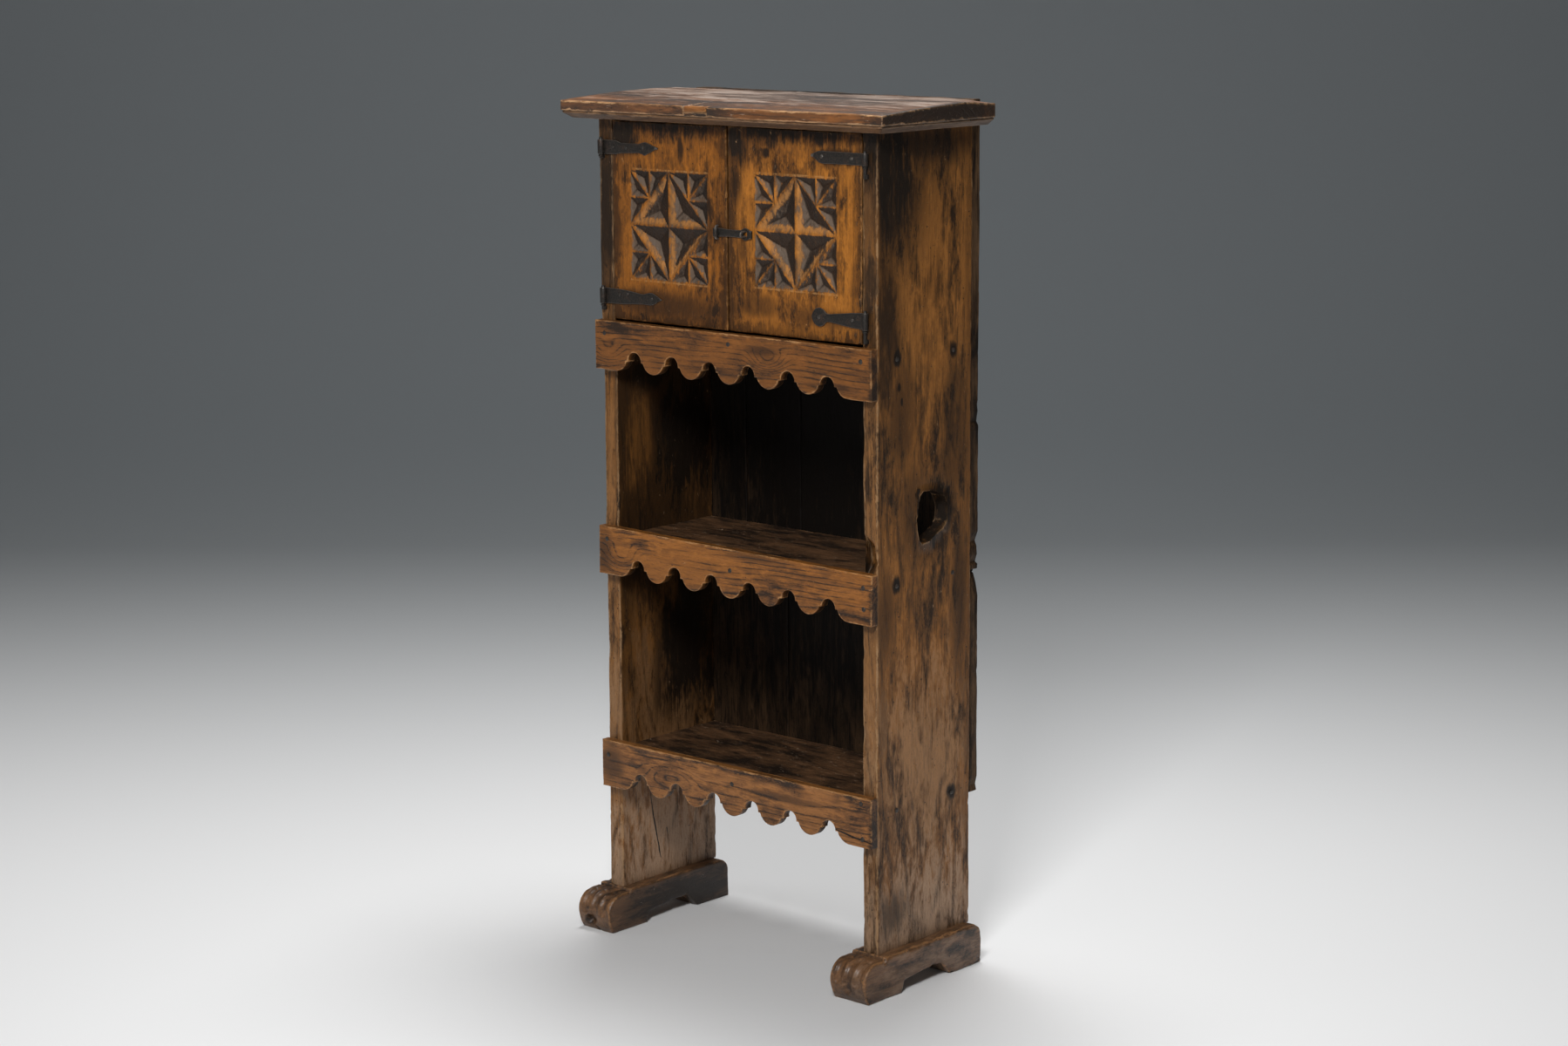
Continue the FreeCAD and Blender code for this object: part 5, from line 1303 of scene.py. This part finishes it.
def forged(path, tops, bottoms, thickness, height, seed, turn=1, dents=0.16 * mm):
    """A flat bar along a path of (x, y) points, with its own upper and lower half height at each.
    Its section is a rectangle with rounded corners: a place on it is the path's point, plus its
    depth times the direction the face looks, and its level times the half height upwards. Noise
    dents it, and turn -1 mirrors it."""
    way = np.gradient(path, axis=0)
    way /= np.linalg.norm(way, axis=1, keepdims=True)
    face = np.stack([way[:, 1], -way[:, 0]], 1)
    rounding = 0.28
    levels = np.array([1 - rounding * 0.3, 1, 1, 1 - rounding * 0.3, 0.75, 0.5, 0.25])
    depths = np.array([1.0, 1 - rounding, -(1 - rounding), -1.0, -1.0, -1.0, -1.0])
    levels = np.concatenate([levels, [0], -levels[::-1], [0]])
    depths = np.concatenate([depths, [-1.0], depths[::-1], [1.0]])
    spans = np.where(levels[None, :] > 0, tops[:, None], bottoms[:, None])
    rings = np.zeros((len(path), len(levels), 3))
    rings[:, :, :2] = path[:, None] + face[:, None] * (depths * thickness / 2)[None, :, None]
    rings[:, :, 2] = height + levels * spans
    places = dented(rings.reshape(-1, 3), 7 * mm, seed, np.array([1, 1, 1.6]) * dents)
    edge = ((1 - np.abs(levels)) * spans).reshape(-1)
    places, faces = swept(places.reshape(rings.shape))
    if turn < 0:
        places = places * [-1, 1, 1]
        faces = [face[::-1] for face in faces]
    return places, faces, {"edge": edge}


def lathe(axis_place, profile, sides=20, seed=1, dents=0.05 * mm):
    """An upright round bar: circles about the axis, with the (radius, height) rows of the profile
    from the bottom up."""
    angles = np.linspace(0, 2 * math.pi, sides, endpoint=False)
    profile = np.array(profile)
    rings = np.zeros((len(profile), sides, 3))
    rings[:, :, 0] = axis_place[0] + profile[:, :1] * np.cos(angles)
    rings[:, :, 1] = axis_place[1] + profile[:, :1] * np.sin(angles)
    rings[:, :, 2] = profile[:, 1:]
    places = dented(rings.reshape(-1, 3), 5 * mm, seed, dents)
    places, faces = swept(places.reshape(rings.shape))
    return places, faces, {"edge": np.full(len(places), 2 * mm)}


def bar(low, high, seed):
    """A square bar with beaten sides, as a slab lying between two corners."""
    return slab([rectangle(low[0], low[2], high[0], high[2])], high[1] - low[1],
                ((0, (low[1] + high[1]) / 2, 0), (1, 0, 0), (0, 0, 1)), edge=0.9 * mm,
                corner=1 * mm, step=2 * mm, cell=3 * mm, rows=7, seed=seed, sway=0.2 * mm, wobble=0)


strap_iron = old_iron("strap_iron", 131)
pin_iron = old_iron("pin_iron", 133, rust=0.5, bright=0.3)
# Each hinge: its pin's place across, the side its strap runs to, the strap's height, the door, the
# strap's outline as (reach, half height above, half height below) and its nails as (share of the
# reach, rise above the middle). Plain numbers are millimetres.
strap_shapes = {
    "left_top": (left_pin, 1, 1340, "left_leaf", [
        (0, 11.5, 12), (30, 11, 11.5), (42, 7.4, 9.2), (58, 7.1, 8.4), (83, 7.3, 7), (92, 9.6, 9.4),
        (97, 10.8, 11), (104, 9.4, 7.6), (114, 6, 3.4), (124, 3.2, -1.8), (126, 2.6, -2.4)],
        [(0.2, 0), (0.44, 0), (0.735, 1.92)]),
    "left_bottom": (left_pin, 1, 1093, "left_leaf", [
        (0, 13, 13), (44, 12, 12), (60, 10.3, 10.6), (88, 7, 9.2), (95, 8.6, 9), (103, 10.6, 9.6),
        (109, 10.6, 9), (116, 8.2, 6.4), (124, 4.6, 2.2), (131, 1.4, -0.4)],
        [(0.27, 3.12), (0.41, 5.2), (0.83, 0.78)]),
    "right_top": (right_pin, -1, 1344, "right_leaf", [
        (0, 9.5, 9.5), (40, 9.2, 9.4), (72, 9.2, 9.6), (83, 9.2, 9.9), (91, 9.7, 9.6),
        (97, 9.2, 8.2), (105, 6.6, 2.2), (111, 4.4, -1.2), (113, 3.4, -2.4)],
        [(0.26, 0), (0.8, 1.14)]),
    "right_bottom": (right_pin, -1, 1093, "right_leaf", [
        (0, 13.5, 13.5), (30, 11.4, 11.6), (55, 8.4, 8.8), (72, 6.4, 6.4), (80, 5.9, 6), (83, 7, 7.2),
        (86, 10.2, 10.4), (90, 13.2, 13.2), (97, 15, 15), (104, 13.2, 13), (109, 9, 9),
        (112, 2, 2)],
        [(0.25, 0), (97 / 112, 0)])}
strap_nail_places = {"left_leaf": [], "right_leaf": []}
for number, (hinge, sizes) in enumerate(strap_shapes.items()):
    pin, turn, height, leaf, shape, nails = sizes
    height *= mm
    shape = np.array(shape) * mm
    strap_nail_places[leaf] += [(pin + turn * share * shape[-1, 0], height + rise * mm)
                                for share, rise in nails]
    # the path runs from the loose end of the roll, round the pin, and out along the door
    angles = np.radians(np.linspace(120, 450, 34))
    roll = np.stack([curl_radius * np.cos(angles), curl_radius * np.sin(angles)], 1)
    reach = np.arange(1.5 * mm, shape[-1, 0], 1.5 * mm)
    reach = np.append(reach, shape[-1, 0])
    plate = np.stack([reach, np.full(len(reach), curl_radius)], 1)
    path = np.concatenate([roll, plate]) + [turn * pin, pin_depth]
    path[:, 1] = np.minimum(path[:, 1], strap_middle)
    along = np.concatenate([np.zeros(len(roll)), reach])
    strap = forged(path, np.interp(along, shape[:, 0], shape[:, 1]),
                   np.interp(along, shape[:, 0], shape[:, 2]), strap_thickness, height,
                   140 + number, turn)
    iron_piece(hinge + "_strap", "forged", leaf, [strap], strap_iron)

    low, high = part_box(hinge + "_pintle")
    seat = height - shape[0, 2] - 1 * mm
    profile = [(1.2 * mm, low.z), (pin_radius, low.z + 0.6 * mm), (pin_radius, seat - 3.6 * mm),
               (3.9 * mm, seat - 3.0 * mm), (4.2 * mm, seat - 2.2 * mm), (4.1 * mm, seat - 0.6 * mm),
               (3.5 * mm, seat - 0.1 * mm), (pin_radius, seat), (pin_radius, high.z - 1.2 * mm),
               (2.2 * mm, high.z - 0.4 * mm), (1.0 * mm, high.z)]
    pintle = [lathe((pin, pin_depth), profile, seed=150 + number),
              bar((pin - spike_half_width, pin_depth, low.z),
                  (pin + spike_half_width, spike_back, low.z + spike_height), 160 + number)]
    iron_piece(hinge + "_pintle", "forged", "carcass", pintle, pin_iron)

# The hasp, a flat bar of forged iron on the left door, swings on a staple and slips its ring over a
# second staple on the right door. Its free end is curled up for the thumb, and both staples are
# bent from round iron and driven into the wood.
hasp_height = 1213.5 * mm
hasp_pivot = np.array([-34 * mm, front - 5.95 * mm])
hasp_back = front - 1.4 * mm
hasp_thickness = 2.5 * mm
hasp_middle = hasp_back - hasp_thickness / 2
ring_centre = 28 * mm
thumb_place = 40 * mm
catch_place = 27 * mm


def wire(path, radius, across, seed, sides=16):
    """A round wire along a flat path, square to the direction across. A place on it is the path's
    point, plus the radius times cos(angle) across and sin(angle) square to both."""
    way = np.gradient(path, axis=0)
    way /= np.linalg.norm(way, axis=1, keepdims=True)
    across = np.array(across, float)
    other = np.cross(way, across)
    angles = np.linspace(0, 2 * math.pi, sides, endpoint=False)
    rings = path[:, None] + radius * (np.cos(angles)[None, :, None] * across
                                      + np.sin(angles)[None, :, None] * other[:, None])
    places = dented(rings.reshape(-1, 3), 4 * mm, seed, 0.09 * mm)
    places, faces = swept(places.reshape(rings.shape))
    return places, faces, {"edge": np.full(len(places), 0.25 * mm)}


curl_angles = np.radians(np.linspace(125, 450, 30))
hasp_curl = hasp_middle - hasp_pivot[1]
curl = np.stack([hasp_curl * np.cos(curl_angles), hasp_curl * np.sin(curl_angles)], 1) + hasp_pivot
neck_reach = np.arange(hasp_pivot[0] + 1.5 * mm, ring_centre - 7.4 * mm, 1.5 * mm)
neck = np.stack([neck_reach, np.full(len(neck_reach), hasp_middle)], 1)
hasp_path = np.concatenate([curl, neck])
hasp_half = np.interp(hasp_path[:, 0], [-31 * mm, -20 * mm, 0, 18 * mm], np.array([7, 6.2, 5.4, 6.2]) * mm)
hasp_half[:len(curl)] = 6.9 * mm
ring_outline = [(ring_centre + 11 * mm * math.cos(a), hasp_height + 10 * mm * math.sin(a))
                for a in np.linspace(0, 2 * math.pi, 26, endpoint=False)]
slot = [(ring_centre + 4 * mm * math.cos(a), hasp_height + 6.5 * mm * math.sin(a))
        for a in np.linspace(2 * math.pi, 0, 18, endpoint=False)]
hasp_ring = slab([ring_outline, slot], hasp_thickness, ((0, hasp_middle, 0), (1, 0, 0), (0, 0, 1)),
                 edge=0.8 * mm, corner=0.3 * mm, step=1.2 * mm, cell=1.6 * mm, rows=5, seed=171,
                 sway=0.2 * mm, wobble=0)
thumb_radius = 1.75 * mm
thumb_angles = np.radians(np.linspace(90, -190, 22))
thumb = np.stack([thumb_place + thumb_radius * np.cos(thumb_angles),
                  hasp_middle - thumb_radius + thumb_radius * np.sin(thumb_angles)], 1)
thumb_start = np.array([[ring_centre + 8 * mm, hasp_middle], [ring_centre + 10 * mm, hasp_middle]])
thumb_path = np.concatenate([thumb_start, thumb])
thumb_half = np.linspace(6.4, 5.2, len(thumb_path)) * mm
hasp = [forged(hasp_path, hasp_half, hasp_half, hasp_thickness, hasp_height, 173),
        hasp_ring,
        forged(thumb_path, thumb_half, thumb_half, 2.0 * mm, hasp_height, 175)]
hasp_iron = old_iron("hasp_iron", 137, rust=0.25, bright=0.6)
iron_piece("hasp", "forged", "hasp_link", hasp, hasp_iron)

staple_iron = old_iron("staple_iron", 139, rust=0.3, bright=0.75)
for staple, leaf, across, depth, spread, radius, bend in (
        ("hasp_pivot_staple", "left_leaf", hasp_pivot[0], hasp_pivot[1], 10 * mm, 2 * mm, 2.5 * mm),
        ("hasp_catch_staple", "right_leaf", catch_place, front - 14.0 * mm, 4 * mm, 1.6 * mm, 4 * mm)):
    legs_end = front + 15 * mm
    quarter = np.radians(np.linspace(0, 90, 7))
    bend_y = depth + bend - bend * np.sin(quarter)
    bend_z = spread - bend + bend * np.cos(quarter)
    upper = np.concatenate([[[legs_end, spread], [front - 1 * mm, spread]],
                            np.stack([bend_y, bend_z], 1)])
    loop = np.concatenate([upper, upper[::-1] * [1, -1]])
    keep = np.concatenate([[True], np.linalg.norm(np.diff(loop, axis=0), axis=1) > 1e-5])
    loop = loop[keep]
    path = np.stack([np.full(len(loop), across), loop[:, 0], hasp_height + loop[:, 1]], 1)
    iron_piece(staple, "bent", leaf, [wire(path, radius, (1, 0, 0), 180)], staple_iron, sharp=None)

# The nails, of forged iron. The big ones have beaten, slightly faceted heads; the top's nails and
# the moulding's brads are driven flush. Each nail stands where the measured model has it.
nail_iron = old_iron("nail_iron", 141, rust=0.55, bright=0.35)
bright_nails = old_iron("bright_nails", 143, rust=0.1, bright=0.9)


def nail(head_place, way, head_radius, head_rise, shank_radius, length, seed):
    """A nail along the way it is driven: a tapered square shank and a low faceted head, in rings.
    A ring's radius is multiplied by 0.88 / max(|cos|, |sin|) of the angle where the nail is square,
    and by a random number near 1 for each side of the head."""
    luck = np.random.default_rng(seed)
    sides = 12
    angles = np.linspace(0, 2 * math.pi, sides, endpoint=False)
    out = -np.array(way, float)
    across = np.array([0, 0, 1.0]) if abs(out[2]) < 0.5 else np.array([1.0, 0, 0])
    other = np.cross(out, across)
    facets = 1 + luck.uniform(-0.10, 0.08, sides)
    square = 1 / np.maximum(np.abs(np.cos(angles)), np.abs(np.sin(angles))) * 0.88
    tilt = luck.uniform(-0.10, 0.10, 2)
    levels = [(shank_radius * 0.25, -length, square), (shank_radius, -length * 0.6, square),
              (shank_radius, -0.05 * mm, square), (head_radius, -0.05 * mm, facets),
              (head_radius, 0.35 * head_rise, facets),
              (head_radius * 0.72, 0.80 * head_rise, facets ** 2),
              (head_radius * 0.34, 0.97 * head_rise, facets)]
    rings = []
    for radius, rise, shape in levels:
        along = np.cos(angles) * radius * shape
        beside = np.sin(angles) * radius * shape
        lean = np.where(rise > 0, (along * tilt[0] + beside * tilt[1]) * 0.6, 0)
        rings.append(head_place + along[:, None] * across + beside[:, None] * other
                     + (rise + lean)[:, None] * out)
    places, faces = swept(np.array(rings))
    return places, faces, {"edge": np.full(len(places), 0.5 * mm)}


def below_top(shelf, share):
    """The height of a place in a shelf's edge, a share of the shelf's thickness under its top."""
    low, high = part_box(shelf)
    return high.z - share * (high.z - low.z)


def across_middle(node):
    """The middle of a piece, measured across the cupboard."""
    low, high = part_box(node)
    return (low.x + high.x) / 2


into_front = (0, 1, 0)
into_back = (0, -1, 0)
downwards = (0, 0, -1)
side_depth = rear - front
shelves = ("cupboard_floor", "middle_shelf", "lower_shelf")

# through each apron, at shares of the half width and of the apron's height, into the side boards,
# and at its middle into the shelf behind it
apron_places = []
for apron, shares, shelf, below in (
        ("upper_apron", [(-0.93, 0.75), (0.93, 0.75)], "cupboard_floor", 0.45),
        ("middle_apron", [(-0.935, 0.85), (0.945, 0.74), (0.95, 0.32)], "middle_shelf", 0.75),
        ("lower_apron", [(-0.95, 0.69), (0.93, 0.88), (0.94, 0.17)], "lower_shelf", 0.5)):
    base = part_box(apron)[0].z
    apron_places += [((outer * across, apron_face, base + apron_height * up), into_front)
                     for across, up in shares]
    apron_places.append(((0, apron_face, below_top(shelf, below)), into_front))

# two nails through each side board into the end of each shelf
side_places = [((sign * outer, front + share * side_depth, below_top(shelf, 0.6)), (-sign, 0, 0))
               for sign in (-1, 1) for share in (0.2, 0.8) for shelf in shelves]

# one nail near the middle of each back board at each height, and the outer boards' into the sides
edge_nail = 0.95 * outer
back_joint = back_low.z
shelf_low, shelf_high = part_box("middle_shelf")
back_columns = (
    ([-edge_nail, across_middle("upper_back_board_2"), across_middle("upper_back_board_3"), edge_nail],
     [top_middle, below_top("cupboard_floor", 0.5), (back_joint + shelf_high.z) / 2]),
    ([-edge_nail, across_middle("lower_back_board_2"), edge_nail],
     [(back_joint + shelf_low.z) / 2, below_top("lower_shelf", 0.5)]))
back_places = [((across, back_high.y, height), into_back)
               for columns, heights in back_columns for across in columns for height in heights]

# three nails down into each side board, sunk a little below the top's face
top_places = [((sign * side_middle, front + share * side_depth, top_high.z - sunk * mm), downwards)
              for sign in (-1, 1) for share, sunk in ((0.45, 1.6), (0.65, 1.0), (0.85, 1.2))]

brad_height = strip_high.z - fillet / 2
brad_places = [((sign * side_middle, front - strip_width, brad_height), into_front)
               for sign in (-1, 1)]
brad_places += [((sign * (outer + strip_width), front + share * side_depth, brad_height),
                 (-sign, 0, 0)) for sign in (-1, 1) for share in (0.25, 0.75)]

strap_places = {leaf: [((across, strap_back - strap_thickness, height), into_front)
                       for across, height in places]
                for leaf, places in strap_nail_places.items()}

# the radius and the rise of the head, and the radius of the shank
beaten_head = (4 * mm, 1.8 * mm, 1.5 * mm)
strap_head = (3.2 * mm, 1.8 * mm, 1.5 * mm)
flush_head = (1.9 * mm, 0.35 * mm, 1.5 * mm)
brad_head = (1.3 * mm, 0.3 * mm, 0.9 * mm)
for group, body, places, sizes, length, seed, finish in (
        ("apron_nails", "carcass", apron_places, beaten_head, 40 * mm, 0, nail_iron),
        ("side_nails", "carcass", side_places, beaten_head, 50 * mm, 20, nail_iron),
        ("back_nails", "carcass", back_places, beaten_head, 40 * mm, 40, nail_iron),
        ("top_nails", "carcass", top_places, flush_head, 50 * mm, 60, nail_iron),
        ("cornice_brads", "carcass", brad_places, brad_head, 55 * mm, 70, nail_iron),
        ("left_strap_nails", "left_leaf", strap_places["left_leaf"], strap_head, 14 * mm, 80,
         nail_iron),
        ("right_strap_nails", "right_leaf", strap_places["right_leaf"], strap_head, 14 * mm, 90,
         bright_nails)):
    nails = [nail(place, way, *sizes, length, seed + number)
             for number, (place, way) in enumerate(places)]
    iron_piece(group, "beaten", body, nails, finish, sharp=30)

# The place where the cupboard stands: a pale floor that sweeps up into a backdrop, lit by large
# soft lamps, and seen by a camera at a standing person's eye level to the right of the front.
camera_place = (3453.50 * mm, -3792.36 * mm + front, 1719.09 * mm)
camera_turn = math.radians(41.451)
camera_fall = math.radians(10.810)
camera_roll = math.radians(-0.326)
lens_pixels = 3670.87
picture_width = 1799

stage_width = 30.0
floor_front = -30.0
floor_back = 5.5
sweep_radius = 2.0
backdrop_height = 7.0
profile = [(floor_front, 0.0), (floor_back - sweep_radius, 0.0)]
profile += [(floor_back + sweep_radius * (math.sin(a) - 1), sweep_radius * (1 - math.cos(a)))
            for a in np.linspace(0.05, math.pi / 2, 24)]
profile += [(floor_back, backdrop_height)]
away = np.array([-math.sin(camera_turn), math.cos(camera_turn)])
beside = np.array([math.cos(camera_turn), math.sin(camera_turn)])
sweep = [[*(beside * side * stage_width + away * depth), height]
         for side in (-1, 1) for depth, height in profile]
half = len(profile)
sweep_faces = [[k, k + half, k + half + 1, k + 1] for k in range(half - 1)]
paper = Finish("floor_paper")
depth_node = paper.node("ShaderNodeVectorMath", {"operation": "DOT_PRODUCT"},
                        {0: paper.place(), 1: (away[0], away[1], 0.45)})
paper_depth = Reading(paper, depth_node.outputs[1])
paper_grain = paper.noise(paper.stretched(paper.place(), [90, 90, 90]), 3.0)
# Pale near the cupboard and grey further back and up the sweep: the backdrop's own grey, and painted
# falloff of light over the floor.
paper_tone_and_painted_falloff = paper.mixed(paper_depth.over(0.3, 4.6), paint(231, 231, 231), paint(141, 146, 149))
stage = meshed("floor", np.array(sweep), sweep_faces, {},
               paper.surface(paper_tone_and_painted_falloff, 0.65 + paper_grain * 0.1, paper_grain * (0.1 * mm)))


def lamp(name, place, aim, size, watts):
    """A square soft lamp that faces the aim."""
    light = bpy.data.lights.new(name, "AREA")
    light.shape = "SQUARE"
    light.size = size
    light.energy = watts
    thing = bpy.data.objects.new(name, light)
    way = Vector(aim) - Vector(place)
    thing.location = place
    thing.rotation_euler = way.to_track_quat("-Z", "Y").to_euler()
    bpy.context.scene.collection.objects.link(thing)


lamp("key_lamp", (1.7, -2.7, 3.1), (0, 0, 0.7), 0.9, 113)
lamp("fill_lamp", (-2.8, -2.2, 1.5), (0, 0, 0.6), 2.0, 7)
lamp("top_lamp", (-0.3, 0.6, 3.8), (0, 0, 0.9), 1.1, 99)

world = bpy.data.worlds.new("studio")
world.use_nodes = True
world.node_tree.nodes["Background"].inputs["Color"].default_value = (0.5, 0.51, 0.52, 1)
world.node_tree.nodes["Background"].inputs["Strength"].default_value = 0.14
bpy.context.scene.world = world

camera = bpy.data.cameras.new("camera")
camera.sensor_width = 36
camera.lens = lens_pixels / picture_width * camera.sensor_width
camera.clip_end = 60
eye = bpy.data.objects.new("camera", camera)
ahead = Vector((-math.sin(camera_turn) * math.cos(camera_fall),
                   math.cos(camera_turn) * math.cos(camera_fall), -math.sin(camera_fall)))
right = Vector((math.cos(camera_turn), math.sin(camera_turn), 0))
above = right.cross(ahead)
right, above = (right * math.cos(camera_roll) + above * math.sin(camera_roll),
                above * math.cos(camera_roll) - right * math.sin(camera_roll))
eye.matrix_world = Matrix(((right.x, above.x, -ahead.x, camera_place[0]),
                              (right.y, above.y, -ahead.y, camera_place[1]),
                              (right.z, above.z, -ahead.z, camera_place[2]), (0, 0, 0, 1)))
bpy.context.scene.collection.objects.link(eye)
bpy.context.scene.camera = eye
bpy.context.scene.view_settings.view_transform = "Standard"
